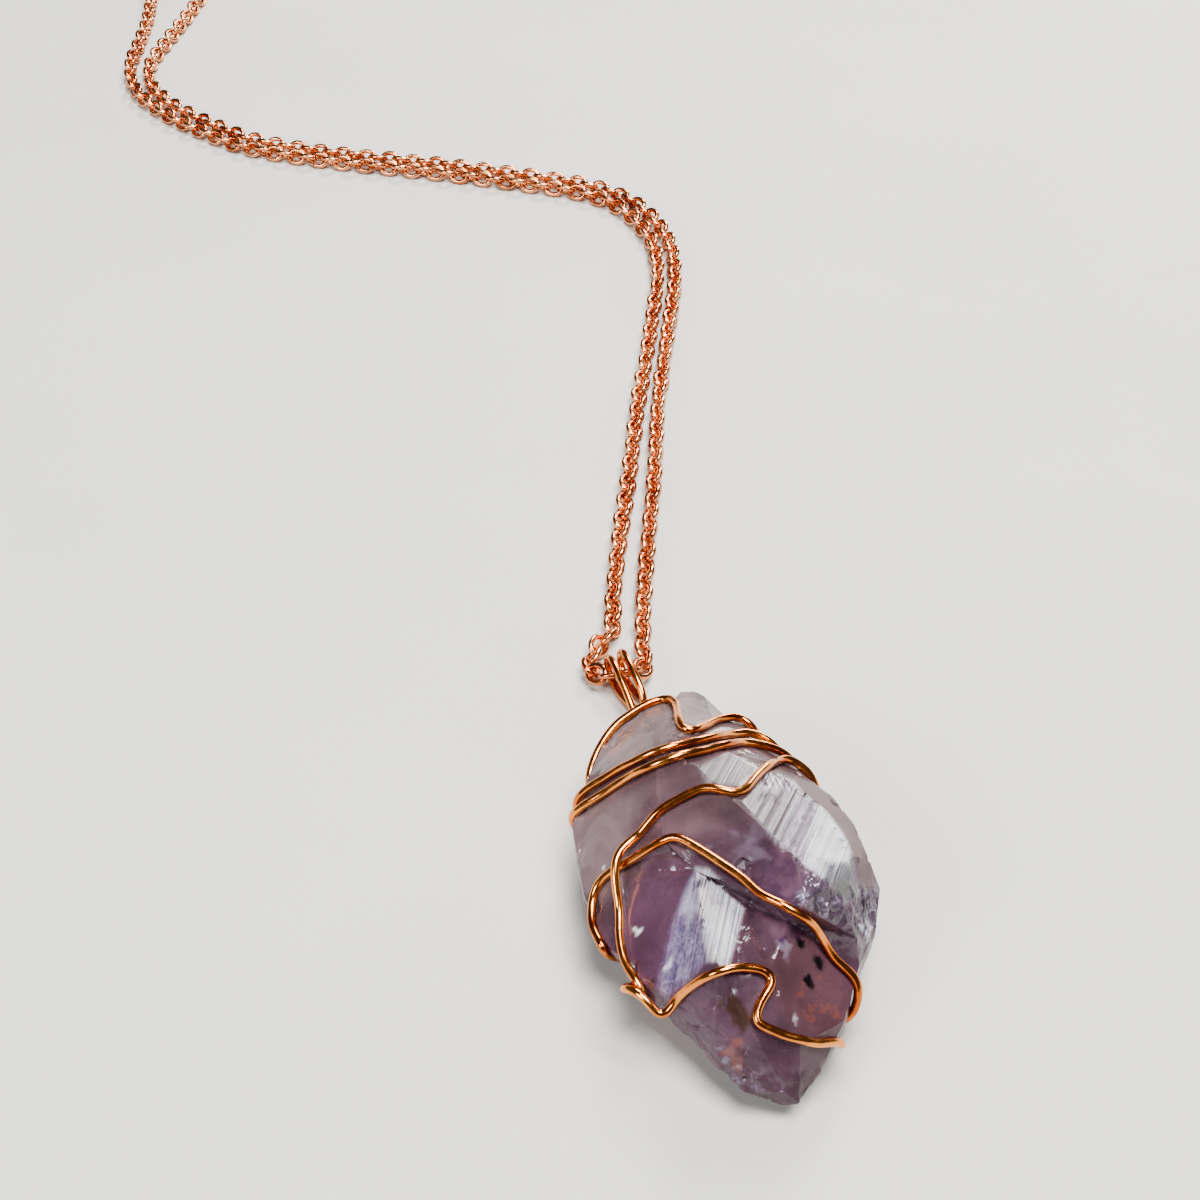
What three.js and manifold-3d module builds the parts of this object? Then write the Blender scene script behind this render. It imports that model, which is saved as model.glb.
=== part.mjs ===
// Wire-wrapped amethyst pendant on a fine cable chain.
// Millimetres, +Z up. The pendant lies on its back: +Y runs along the stone towards the bail,
// and Z = 0 is the surface that the back passes of the wire rest on.

import * as THREE from 'three';
import Module from 'manifold-3d';
import { mergeVertices } from 'three/addons/utils/BufferGeometryUtils.js';

const wasm = await Module();
wasm.setup();

// Driving dimensions

const WIRE_DIAMETER = 0.8;
const WIRE_SIDES = 6;
const WIRE_STEP = 1.0;           // length of wire between two sections of its tube
const WIRE_GAP = 0.2;            // left between the wire and the stone
const CHAIN_DIAMETER = 2.0;      // across the links
const CHAIN_SIDES = 8;
const STRAND_STEPS = 36;         // along each half of the chain
const BAIL_PASS_STEPS = 16;      // along the links that run through the bail
const STONE_BACK = 1.0;          // height of the flat back of the stone
const CUT_SIZE = 80;             // side of the block that a face is cut with
const CENTRE = [-0.86, 1.74];      // middle of the stone and wire, put at the origin

// Corners of the stone. The rim is what stands out furthest, clockwise from the bail.

const RIM = [
  [-2.7, 16.4, 9.6], [-0.2, 16.7, 9.8], [0.5, 16.5, 9.8], [1.7, 18.1, 9.0], [3.0, 18.4, 8.6],
  [3.9, 17.0, 8.8], [4.6, 14.3, 9.2], [6.5, 12.0, 9.2], [8.4, 8.2, 8.8], [10.4, 4.9, 8.4],
  [12.4, 0.4, 8.4], [12.9, -4.3, 9.2], [12.3, -9.8, 10.4], [13.2, -11.2, 7.4], [11.4, -15.2, 6.6],
  [8.6, -18.6, 6.8], [5.4, -23.7, 5.6], [2.1, -27.1, 3.8], [-0.5, -29.0, 2.6], [-2.2, -28.4, 2.3],
  [-5.1, -27.3, 3.4], [-6.8, -24.9, 4.5], [-8.9, -20.7, 6.0], [-10.7, -17.7, 6.6], [-11.9, -14.8, 6.4],
  [-13.0, -11.5, 6.0], [-14.4, -6.9, 5.4], [-13.8, -0.2, 6.4], [-13.4, 4.2, 7.0], [-10.6, 8.7, 8.8],
  [-8.4, 12.4, 8.6], [-5.5, 15.5, 8.9],
];

// Corners inside the rim, on the front of the stone.

const FRONT = {
  // Edge between the left face and the broad face, from the top down
  left1: [-5.1, 3.4, 15.1], left2: [-6.1, -0.3, 14.2], left3: [-6.7, -5.2, 13.2],
  // Ridge between the broad face and the striated face
  ridge1: [-3.4, 3.7, 15.4], ridge2: [-1.9, 0.7, 16.0], ridge3: [1.1, -5.1, 16.0],
  ridge4: [3.7, -12.4, 15.9], ridge5: [5.3, -15.3, 15.6],
  // Far edge of the striated face
  strip1: [-1.1, 8.1, 13.6], strip2: [2.5, 3.5, 14.0], strip3: [4.2, 0.2, 13.9], strip4: [8.0, -0.8, 12.6],
  strip5: [9.1, -4.4, 12.7], strip6: [9.8, -9.3, 13.2], strip7: [9.6, -11.8, 13.6],
  // Small crystal tip at the top
  peak1: [1.0, 14.0, 10.6], peak2: [3.2, 11.9, 10.8],
  // Top and foot of the step across the front
  step1: [-3.0, -9.7, 13.8], step2: [0.2, -15.1, 14.0], step3: [3.0, -17.3, 14.6],
  foot1: [-6.2, -5.9, 12.4], foot2: [-4.7, -9.1, 12.6], foot3: [-0.8, -14.0, 12.1], foot4: [1.9, -16.8, 12.4],
  // Fractured corner
  chip1: [8.5, -14.3, 12.6], chip2: [8.4, -17.6, 9.2],
  // Lower half
  fold1: [-10.7, -4.3, 9.3], fold2: [-12.4, -11.5, 7.0], haze: [-7.1, -13.4, 10.6],
  belt1: [-9.8, -18.6, 7.7], belt2: [-7.9, -19.5, 10.2], belt3: [-5.8, -20.3, 12.4],
  belt4: [-4.2, -20.3, 12.0], belt5: [-1.1, -20.9, 11.2], pane: [-5.7, -14.7, 12.8],
  bevel1: [-8.7, -20.6, 7.6], bevel2: [-6.8, -23.3, 7.2], bevel3: [-5.0, -25.8, 5.8], bevel4: [-1.7, -28.4, 3.6],
  low1: [-3.8, -24.7, 8.8], low2: [0.2, -26.3, 7.2],
};

// Crystal faces of the front, each by its corners, anticlockwise. A number is a corner of the rim.

const FRONT_FACES = [
  [0, 31, 30, 29, 'left1'],
  ['left1', 29, 28, 27, 26, 25, 'fold2', 'fold1', 'left3', 'left2'],
  [1, 0, 'left1', 'ridge1'],
  ['left1', 'left2', 'left3', 'step1', 'step2', 'step3', 'ridge5', 'ridge4', 'ridge3', 'ridge2', 'ridge1'],
  [1, 'ridge1', 'strip1', 2],
  ['ridge1', 'ridge2', 'ridge3', 'strip3', 'strip2', 'strip1'],
  ['ridge3', 'ridge4', 'ridge5', 'strip7', 'strip6', 'strip5', 'strip4', 'strip3'],
  [2, 'strip1', 'peak1'],
  [2, 'peak1', 3],
  [3, 'peak1', 'peak2', 6, 5, 4],
  ['peak1', 'strip1', 'strip2', 8, 7, 'peak2'],
  ['peak2', 7, 6],
  ['strip2', 'strip3', 'strip4', 9, 8],
  ['strip4', 'strip5', 10, 9],
  ['strip5', 'strip6', 11, 10],
  ['strip6', 'strip7', 12, 11],
  ['strip7', 'ridge5', 'chip1', 12],
  [12, 'chip1', 'chip2', 14, 13],
  ['ridge5', 'step3', 'chip2', 'chip1'],
  ['chip2', 15, 14],
  ['left3', 'fold1', 'foot1'],
  ['left3', 'foot1', 'foot2', 'foot3', 'foot4', 'step3', 'step2', 'step1'],
  ['fold1', 'fold2', 24, 'belt1', 'haze', 'foot2', 'foot1'],
  ['fold2', 25, 24],
  ['foot2', 'haze', 'belt1', 'belt2', 'belt3', 'pane'],
  ['foot2', 'pane', 'belt3', 'belt4', 'foot3'],
  ['foot3', 'belt4', 'belt5', 'foot4'],
  ['foot4', 'belt5', 15, 'chip2', 'step3'],
  ['belt5', 'low2', 16, 15],
  ['belt2', 'belt1', 'bevel1', 'bevel2', 'belt3'],
  ['belt3', 'bevel2', 'low1', 'belt4'],
  ['belt4', 'low1', 'belt5'],
  ['belt5', 'low1', 'low2'],
  ['low1', 'bevel2', 'bevel3', 'bevel4', 'low2'],
  ['low2', 'bevel4', 18, 17, 16],
  ['belt1', 24, 23, 'bevel1'],
  ['bevel1', 23, 22, 'bevel2'],
  ['bevel2', 22, 21, 'bevel3'],
  ['bevel3', 21, 20, 'bevel4'],
  ['bevel4', 20, 19, 18],
];

// Growth lines on the two brightest faces, and the ribs at the top of one: where each starts on the
// face, and how long, wide and deep it is. All the lines of a set run the same way.

const HIGH_LINES = {
  along: [0.52, 0.8, -0.31],
  face: ['ridge3', 'ridge5', 'strip5'],
  grooves: [
    { from: [1.7, -6.9, 15.9], length: 7.4, width: 0.4, depth: 0.12 },
    { from: [2.1, -8.2, 15.9], length: 8.8, width: 0.5, depth: 0.18 },
    { from: [2.6, -9.4, 15.9], length: 9.8, width: 0.35, depth: 0.12 },
    { from: [3.0, -10.4, 15.8], length: 10.4, width: 0.4, depth: 0.16 },
    { from: [3.5, -11.7, 15.8], length: 10.8, width: 0.7, depth: 0.24 },
    { from: [3.9, -12.8, 15.8], length: 10.8, width: 0.4, depth: 0.14 },
    { from: [4.4, -13.7, 15.7], length: 10.4, width: 0.6, depth: 0.2 },
    { from: [4.9, -14.6, 15.6], length: 9.0, width: 0.4, depth: 0.14 },
    { from: [5.8, -14.9, 15.2], length: 7.2, width: 0.6, depth: 0.2 },
    { from: [6.8, -14.1, 14.9], length: 5.0, width: 0.5, depth: 0.18 },
  ],
};
const COMB_LINES = {
  along: [0.1, 0.95, -0.1],
  face: ['ridge3', 'ridge5', 'strip5'],
  grooves: [
    { from: [4.6, -1.6, 14.0], length: 2.6, width: 0.22, depth: 0.3 },
    { from: [5.2, -1.7, 13.8], length: 2.6, width: 0.22, depth: 0.34 },
    { from: [5.8, -1.8, 13.6], length: 2.6, width: 0.22, depth: 0.3 },
    { from: [6.4, -1.9, 13.4], length: 2.6, width: 0.25, depth: 0.36 },
    { from: [7.0, -2.0, 13.2], length: 2.6, width: 0.22, depth: 0.3 },
  ],
};
const LOW_LINES = {
  along: [0.44, 0.9, -0.05],
  face: ['foot2', 'belt3', 'foot3'],
  grooves: [
    { from: [-5.4, -13.6, 12.7], length: 4.6, width: 0.4, depth: 0.14 },
    { from: [-5.5, -15.6, 12.7], length: 5.8, width: 0.6, depth: 0.2 },
    { from: [-5.6, -17.2, 12.6], length: 6.4, width: 0.35, depth: 0.12 },
    { from: [-5.6, -18.6, 12.5], length: 6.8, width: 0.5, depth: 0.18 },
    { from: [-5.4, -19.8, 12.4], length: 7.0, width: 0.4, depth: 0.14 },
    { from: [-4.8, -20.2, 12.2], length: 6.6, width: 0.55, depth: 0.18 },
  ],
};

// Pieces broken out of the edges: middle of each, its radius, and its turn about the upright

const CHIPS = [
  { centre: [-8.6, 12.9, 9.7], radius: 1.1, turn: 20 },
  { centre: [2.2, 18.6, 9.4], radius: 0.9, turn: 50 },
  { centre: [12.6, -1.4, 9.4], radius: 1.0, turn: 10 },
  { centre: [13.1, -7.4, 10.9], radius: 1.3, turn: 35 },
  { centre: [11.3, -11.6, 13.2], radius: 1.5, turn: 60 },
  { centre: [9.6, -15.2, 12.4], radius: 1.6, turn: 15 },
  { centre: [6.6, -16.6, 14.6], radius: 1.2, turn: 40 },
  { centre: [-1.4, -29.6, 3.9], radius: 1.2, turn: 25 },
  { centre: [-5.2, -27.4, 4.9], radius: 1.1, turn: 70 },
  { centre: [-12.6, -14.4, 7.4], radius: 1.0, turn: 30 },
  { centre: [-0.9, -10.9, 14.7], radius: 0.9, turn: 55 },
];

// Faces of the underside: compass direction and slope of the outward normal in degrees, slope
// measured from straight up, and one point of the face.

const BACK_FACES = [
  { direction: 186, slope: 124, point: [-14.4, -6.9, 5.2] },
  { direction: 160, slope: 122, point: [-13.4, 4.2, 6.6] },
  { direction: 135, slope: 126, point: [-8.4, 12.4, 7.4] },
  { direction: 92, slope: 124, point: [3.0, 18.4, 7.2] },
  { direction: 48, slope: 122, point: [3.0, 18.4, 7.0] },
  { direction: 16, slope: 120, point: [12.4, 0.4, 7.0] },
  { direction: 342, slope: 122, point: [13.2, -11.2, 6.2] },
  { direction: 318, slope: 126, point: [2.1, -27.1, 3.4] },
  { direction: 262, slope: 128, point: [-0.5, -29.0, 2.3] },
  { direction: 222, slope: 124, point: [-5.1, -27.3, 3.1] },
  { direction: 195, slope: 152, point: [-9.4, -4.0, 2.4] },
  { direction: 340, slope: 150, point: [8.2, -12.0, 2.3] },
];

// Long axis of the stone, from the tail end to the bail end, that the wire is wound around.

const AXIS_TAIL = new THREE.Vector3(-2.0, -24.0, 4.4);
const AXIS_HEAD = new THREE.Vector3(0.5, 16.0, 7.0);
const TURN_SCALE = 6.4;          // degrees around the stone that count as one millimetre of wire

// Wire routes: degrees around the long axis (0 right, 90 front, 180 left, 270 back), distance along
// it, how far the wire is lifted off the stone, and how far from the axis it stays at least.

const TOP_PASS = [
  [218, 9.8], [206, 9.8], [194, 9.7], [184, 9.8], [178, 10.4], [176, 11.6], [172, 12.9], [166, 13.7],
  [158, 14.9, 0, 6.9], [149, 15.4, 0, 5.9], [139, 15.8, 0, 4.9], [122, 16.2, 0, 3.9], [104, 16.0, 0, 3.6],
  [96, 14.8], [96, 13.3], [98, 11.4], [99, 9.6], [97, 8.1], [91, 7.7], [81, 8.7], [61, 10.6], [42, 11.8],
  [32, 12.1], [27, 11.7], [24, 11.2], [18, 10.9], [8, 10.8], [-8, 10.9], [-30, 11.2], [-56, 12.0],
  [-76, 13.4], [-87, 15.0], [-91, 16.4, 0, 6.6],
];

const WRAP = [
  [253, 15.8, 0, 6.6], [250, 13.6], [243, 11.4], [232, 9.6], [215, 8.3], [197, 7.4], [180, 6.7],
  // Upper wire of the double band
  [168, 6.8], [146, 5.9], [128, 4.8], [112, 4.4], [100, 4.8], [84, 6.0], [64, 7.7], [44, 9.0], [31, 9.5],
  [23, 8.9], [18, 8.2], [11, 7.8], [2, 7.4], [-10, 7.0], [-25, 6.6], [-50, 6.0], [-75, 5.5], [-90, 5.2],
  [-110, 5.0], [-135, 5.0], [-160, 5.2], [-176, 5.5],
  // Lower wire of the double band
  [-188, 5.2], [-200, 4.8], [-212, 4.4], [-224, 3.8], [-238, 2.8], [-250, 2.5], [-263, 3.0], [-275, 3.9],
  [-293, 5.3], [-310, 6.8], [-324, 7.3], [-331, 7.2], [-336, 6.9], [-342, 6.5], [-350, 6.2], [-360, 5.8],
  [-382, 4.4], [-405, 1.8], [-428, -1.1], [-450, -3.7], [-472, -6.1], [-495, -8.2], [-512, -9.4],
  [-524, -10.0], [-532, -10.4],
  // Long pass from the loop at the left, along the top of the step, to the lower right
  [-538, -10.6, 0, 12.2], [-541, -10.4, 0, 12.7], [-542, -9.7, 0, 13.0], [-542, -8.6, 0, 13.1],
  [-542.5, -7.3, 0, 13.0], [-544, -5.9], [-547, -4.8], [-552, -4.3], [-560, -4.5], [-569, -4.9],
  [-582, -5.2], [-592, -5.5], [-600, -5.8], [-606, -6.9], [-618, -9.6], [-630, -12.5], [-637, -14.8],
  [-642, -15.8, 0, 9.2], [-648, -16.8, 0, 9.4], [-654, -17.6, 0, 9.6], [-661, -18.2, 0, 9.3],
  [-672, -18.6, 0, 8.9], [-682, -19.0, 0, 8.7], [-690, -19.4], [-697, -19.8], [-704, -20.4], [-710, -21.0], [-717, -21.5], [-724, -21.7], [-732, -21.7], [-746, -21.3], [-765, -20.6],
  [-790, -19.4], [-815, -18.2], [-835, -17.3], [-855, -16.9], [-875, -17.0], [-890, -17.3], [-900, -17.2],
  // Pass up the left side and over the loop, across the ridge to the upper right
  [-906, -16.7], [-909, -15.7], [-909, -14.4], [-910, -12.9], [-912, -11.2], [-916, -9.2, 0.3],
  [-920, -7.9, 0.9], [-924.5, -6.3, 1.4], [-928.5, -4.9, 1.5], [-931.5, -4.0, 1.1], [-935, -3.4, 0.5],
  [-940, -3.0], [-946, -2.8], [-956, -2.4], [-967, -2.2], [-977, -2.1], [-983, -2.2], [-992, -3.0],
  [-998, -3.4], [-1004, -3.0], [-1015, -0.8], [-1032, 2.0], [-1045, 3.8], [-1053, 5.0], [-1058, 5.5],
  [-1062, 5.1], [-1067, 4.3], [-1074, 3.4], [-1083, 2.5], [-1095, 1.3], [-1110, -0.4], [-1128, -2.6],
  [-1148, -5.5], [-1170, -8.6], [-1192, -11.4], [-1215, -13.6], [-1234, -14.4],
  // Hook at the lower left, then the low pass with its bend, out past the right side
  [-1246, -14.8], [-1256, -15.2], [-1261, -15.4, 0.4], [-1265, -15.7, 0.9], [-1268, -16.2, 1.4],
  [-1271.5, -16.8, 1.6], [-1275.5, -17.5, 1.6], [-1277.5, -18.5, 1.3], [-1276, -19.5, 1.0],
  [-1274, -20.3, 0.7], [-1277, -20.3, 0.4], [-1283, -19.9, 0.2], [-1293, -19.9], [-1307, -20.3], [-1324, -20.9], [-1335, -20.8],
  [-1349, -21.1], [-1357, -21.9], [-1350, -22.8], [-1340, -23.8], [-1335, -24.6], [-1342, -25.2],
  [-1357, -25.7], [-1378, -26.2], [-1396, -26.4], [-1413, -26.3, 0, 4.6], [-1428, -25.9, 0, 5.4],
  [-1438, -25.6, 0, 6.4], [-1443, -25.5, 0, 7.4],
];

// Bail: from the right strand at the back, two turns round the chain, and back by the left strand.

const BAIL = [
  [0.4, 16.8, 0.52], [0.6, 20.0, 0.7], [0.7, 23.3, 0.6], [0.3, 25.5, 0.52], [-0.8, 28.0, 0.52],
  [-1.2, 30.8, 0.52], [-1.3, 32.0, 1.5], [-1.3, 32.0, 2.8], [-1.2, 30.8, 3.75], [-1.1, 29.0, 3.95],
  [-0.9, 27.3, 3.75], [-0.6, 25.4, 2.9], [-0.6, 24.3, 1.8], [-1.2, 24.7, 0.8], [-2.2, 27.2, 0.52],
  [-2.7, 30.0, 0.52], [-2.9, 31.4, 1.2], [-2.9, 31.5, 2.6], [-2.85, 30.3, 3.7], [-2.7, 28.5, 3.95],
  [-2.6, 27.1, 3.75], [-2.3, 25.1, 3.0], [-2.0, 22.5, 1.9], [-1.7, 19.5, 1.1], [-1.4, 16.2, 0.52],
];

// Chain: the middle line of its two strands, [x, y, distance between the strands], from the bail to
// the far end, the links that run through the bail, and the ends of each strand.

const CHAIN_HEIGHT = 1.05;
const STRANDS = [
  [0.9, 37.4, 3.6], [2.6, 43.3, 3.6], [6.2, 54.3, 3.5], [10.1, 65.6, 3.2], [14.9, 80.4, 2.7],
  [18.5, 90.2, 2.5], [22.2, 100.5, 2.5], [25.8, 111.0, 2.5], [27.4, 121.0, 2.6], [25.6, 131.0, 2.6],
  [20.6, 137.8, 2.6], [12.0, 143.2, 2.6], [-1.0, 150.2, 2.6], [-17.8, 158.6, 2.6], [-28.0, 165.0, 2.6],
  [-34.2, 171.8, 2.6], [-40.2, 180.4, 2.7], [-43.8, 189.5, 2.9], [-43.9, 198.0, 3.4], [-41.2, 207.0, 4.6],
  [-38.2, 216.0, 6.6], [-35.8, 225.0, 9.0], [-34.2, 233.0, 11.4],
];
const BAIL_PASS = [
  [-2.6, 35.9, 1.05], [-4.0, 33.9, 1.1], [-4.8, 31.8, 1.4], [-4.4, 30.1, 1.9], [-3.3, 29.3, 2.15],
  [-2.0, 29.2, 2.2], [-0.7, 29.3, 2.15], [0.6, 29.8, 1.9], [1.3, 31.0, 1.5], [1.6, 32.8, 1.15],
  [2.1, 35.0, 1.05],
];
const LEFT_START = [[-2.4, 36.12, 1.05]];
const RIGHT_START = [[2.18, 35.29, 1.05]];
const LEFT_END = [[-40.4, 239.6, 1.05], [-39.9, 243.4, 1.05], [-38.4, 245.6, 1.05], [-36.1, 246.2, 1.05]];
const RIGHT_END = [[-26.9, 239.2, 1.05], [-25.8, 242.8, 1.05], [-26.6, 245.4, 1.05], [-28.5, 246.2, 1.05]];

// Spring ring and end ring that close the chain

const CLASP = { centre: [-33.05, 246.2, 1.15], radius: 2.2, wire: 0.45, tilt: 16 };
const END_RING = { centre: [-30.85, 246.2, 1.98], radius: 1.6, wire: 0.35 };

// Solids for joining and cutting

function solidOf(geometry) {
  const bare = geometry.index ? geometry.toNonIndexed() : geometry.clone();
  bare.deleteAttribute('normal');
  bare.deleteAttribute('uv');
  const merged = mergeVertices(bare, 1e-4);
  return new wasm.Manifold(new wasm.Mesh({
    numProp: 3,
    vertProperties: new Float32Array(merged.attributes.position.array),
    triVerts: new Uint32Array(merged.index.array),
  }));
}

function geometryOf(solid) {
  const mesh = solid.getMesh();
  const geometry = new THREE.BufferGeometry();
  geometry.setAttribute('position', new THREE.BufferAttribute(new Float32Array(mesh.vertProperties), 3));
  geometry.setIndex(new THREE.BufferAttribute(new Uint32Array(mesh.triVerts), 1));
  geometry.computeVertexNormals();
  return geometry;
}

function directionOf(compass, slope) {
  const around = THREE.MathUtils.degToRad(compass);
  const down = THREE.MathUtils.degToRad(slope);
  return new THREE.Vector3(
    Math.cos(around) * Math.sin(down),
    Math.sin(around) * Math.sin(down),
    Math.cos(down),
  );
}

// A large block whose near side is the plane through a point, square to the outward normal.

function blockBeyond(normal, point) {
  const block = new THREE.BoxGeometry(CUT_SIZE, CUT_SIZE, CUT_SIZE);
  const turn = new THREE.Quaternion().setFromUnitVectors(new THREE.Vector3(0, 0, 1), normal);
  block.translate(0, 0, CUT_SIZE / 2);
  block.applyQuaternion(turn);
  block.translate(point.x, point.y, point.z);
  return solidOf(block);
}

// Triangles of one flat face, from its corners in order round the outward normal.

function trianglesOf(ring) {
  const normal = new THREE.Vector3();
  ring.forEach((corner, index) => {
    const next = ring[(index + 1) % ring.length];
    normal.add(new THREE.Vector3().crossVectors(corner, next));
  });
  const upright = new THREE.Quaternion().setFromUnitVectors(normal.normalize(), new THREE.Vector3(0, 0, 1));
  const outline = ring.map((corner) => {
    const flat = corner.clone().applyQuaternion(upright);
    return new THREE.Vector2(flat.x, flat.y);
  });
  return THREE.ShapeUtils.triangulateShape(outline, []).map(([a, b, c]) => {
    const turn = outline[b].clone().sub(outline[a]).cross(outline[c].clone().sub(outline[a]));
    return turn > 0 ? [a, b, c] : [a, c, b];
  });
}

// The stone before its underside is cut: the front faces, with walls straight down from the rim.

function uprightStone() {
  const names = Object.keys(FRONT);
  const backStart = RIM.length + names.length;
  const corners = [...RIM, ...Object.values(FRONT), ...RIM.map(([x, y]) => [x, y, STONE_BACK])]
    .map((corner) => new THREE.Vector3(...corner));
  const rank = (name) => (typeof name === 'number' ? name : RIM.length + names.indexOf(name));
  const rings = FRONT_FACES.map((face) => face.map(rank));
  rings.push(RIM.map((_, index) => backStart + index));
  RIM.forEach((_, index) => {
    const next = (index + 1) % RIM.length;
    rings.push([index, next, backStart + next, backStart + index]);
  });
  const triangles = rings.flatMap((ring) => (
    trianglesOf(ring.map((index) => corners[index])).flat().map((index) => ring[index])
  ));
  const geometry = new THREE.BufferGeometry();
  geometry.setFromPoints(corners);
  geometry.setIndex(triangles);
  return solidOf(geometry);
}

// Three-sided bars that cut the growth lines of one face. Each lies along the face with one edge below it.

function groovesOf({ along, face, grooves }) {
  const [a, b, c] = face.map((name) => new THREE.Vector3(...FRONT[name]));
  const normal = b.clone().sub(a).cross(c.clone().sub(a)).normalize();
  const forward = new THREE.Vector3(...along).projectOnPlane(normal).normalize();
  const side = new THREE.Vector3().crossVectors(normal, forward);
  const turn = new THREE.Matrix4().makeBasis(side, normal, forward);
  return grooves.map(({ from, length, width, depth }) => {
    const section = new THREE.Shape();
    section.moveTo(0, -depth);
    section.lineTo(width, depth);
    section.lineTo(-width, depth);
    section.closePath();
    const bar = new THREE.ExtrudeGeometry(section, { depth: length, bevelEnabled: false });
    bar.applyMatrix4(turn);
    const start = new THREE.Vector3(...from);
    start.addScaledVector(normal, a.clone().sub(start).dot(normal));
    bar.translate(start.x, start.y, start.z);
    return solidOf(bar);
  });
}

function makeStone() {
  let stone = uprightStone();
  for (const { direction, slope, point } of BACK_FACES) {
    stone = stone.subtract(blockBeyond(directionOf(direction, slope), new THREE.Vector3(...point)));
  }
  for (const groove of [HIGH_LINES, COMB_LINES, LOW_LINES].flatMap(groovesOf)) {
    stone = stone.subtract(groove);
  }
  for (const { centre, radius, turn } of CHIPS) {
    const lump = new THREE.IcosahedronGeometry(radius, 0);
    lump.rotateZ(THREE.MathUtils.degToRad(turn));
    lump.translate(...centre);
    stone = stone.subtract(solidOf(lump));
  }
  return geometryOf(stone);
}

// Middle of the stone at one distance along its long axis, and the way out from it on one bearing.

function axisAt(along) {
  return AXIS_TAIL.clone().lerp(AXIS_HEAD, (along - AXIS_TAIL.y) / (AXIS_HEAD.y - AXIS_TAIL.y));
}

function outwardAt(around) {
  const angle = THREE.MathUtils.degToRad(around);
  return new THREE.Vector3(Math.cos(angle), 0, Math.sin(angle));
}

// Distance from the long axis to the outermost skin of the stone on one bearing.

const caster = new THREE.Raycaster();

function skinReach(stone, around, along) {
  caster.set(axisAt(along), outwardAt(around));
  const hits = caster.intersectObject(stone, false);
  return hits.length === 0 ? 0 : hits[hits.length - 1].distance;
}

// Largest, and then mean, of the values near each place in a list. Both together never fall below
// the list itself.

function evenedOut(values, span) {
  const near = (list, index) => list.slice(Math.max(0, index - span), index + span + 1);
  const highest = values.map((_, index) => Math.max(...near(values, index)));
  return highest.map((_, index) => {
    const part = near(highest, index);
    return part.reduce((sum, value) => sum + value, 0) / part.length;
  });
}

function trianglesIn(geometry) {
  const flat = geometry.toNonIndexed().attributes.position;
  return Array.from({ length: flat.count / 3 }, (_, index) => new THREE.Triangle(
    new THREE.Vector3().fromBufferAttribute(flat, 3 * index),
    new THREE.Vector3().fromBufferAttribute(flat, 3 * index + 1),
    new THREE.Vector3().fromBufferAttribute(flat, 3 * index + 2),
  ));
}

function distanceToSkin(triangles, point) {
  const nearest = new THREE.Vector3();
  return Math.min(...triangles.map((triangle) => (
    triangle.closestPointToPoint(point, nearest).distanceTo(point)
  )));
}

// The middle line of a wire drawn tight over the stone. It starts on the skin along its route, and
// is moved outwards until it lies clear of the stone everywhere, bridging the hollows.

const LAY_STEP = 0.4;
const LAY_SPAN = 3;
const LAY_ROUNDS = 5;

function laidWire(stone, triangles, route) {
  const guide = new THREE.CatmullRomCurve3(
    route.map(([around, along]) => new THREE.Vector3(around / TURN_SCALE, along, 0)),
    false,
    'centripetal',
  );
  const extra = new THREE.CatmullRomCurve3(
    route.map(([, , lift = 0, least = 0]) => new THREE.Vector3(lift, least, 0)),
    false,
    'catmullrom',
    0.2,
  );
  const count = Math.round(guide.getLength() / LAY_STEP);
  const samples = Array.from({ length: count + 1 }, (_, step) => {
    const spot = guide.getUtoTmapping(step / count);
    const { x, y: along } = guide.getPoint(spot);
    const { x: lift, y: least } = extra.getPoint(spot);
    return { around: x * TURN_SCALE, along, lift, least };
  });
  const placed = (reaches) => samples.map(({ around, along }, index) => {
    const point = axisAt(along).addScaledVector(outwardAt(around), reaches[index]);
    point.z = Math.max(WIRE_DIAMETER / 2, point.z);
    return point;
  });
  const clearance = WIRE_DIAMETER / 2 + WIRE_GAP;
  const skin = samples.map(({ around, along, least }) => (
    Math.max(skinReach(stone, around, along) + clearance, least)
  ));
  let reaches = evenedOut(skin, LAY_SPAN);
  for (let round = 0; round < LAY_ROUNDS; round += 1) {
    const short = placed(reaches).map((point) => Math.max(0, clearance - distanceToSkin(triangles, point)));
    const push = evenedOut(short, LAY_SPAN);
    reaches = reaches.map((reach, index) => reach + push[index]);
  }
  return placed(reaches.map((reach, index) => reach + samples[index].lift));
}

// A round bar along a line of points

function tubeAlong(points, diameter, sides, steps) {
  const section = new THREE.Shape();
  for (let side = 0; side < sides; side += 1) {
    const angle = (2 * Math.PI * side) / sides;
    const x = (diameter / 2) * Math.cos(angle);
    const y = (diameter / 2) * Math.sin(angle);
    if (side === 0) {
      section.moveTo(x, y);
    } else {
      section.lineTo(x, y);
    }
  }
  const path = new THREE.CatmullRomCurve3(points, false, 'centripetal');
  path.arcLengthDivisions = 2000;
  const count = steps ?? Math.round(path.getLength() / WIRE_STEP);
  return new THREE.ExtrudeGeometry(section, { steps: count, bevelEnabled: false, extrudePath: path });
}

// One strand of the chain, on the given side of the middle line (-1 left, 1 right)

function strandLine(side, start, end) {
  const middle = STRANDS.map(([x, y, apart], index) => {
    const [x0, y0] = STRANDS[Math.max(0, index - 1)];
    const [x1, y1] = STRANDS[Math.min(STRANDS.length - 1, index + 1)];
    const length = Math.hypot(x1 - x0, y1 - y0);
    const shift = (side * apart) / 2 / length;
    return [x + (y1 - y0) * shift, y - (x1 - x0) * shift, CHAIN_HEIGHT];
  });
  return [...start, ...middle, ...end].map((point) => new THREE.Vector3(...point));
}

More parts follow.
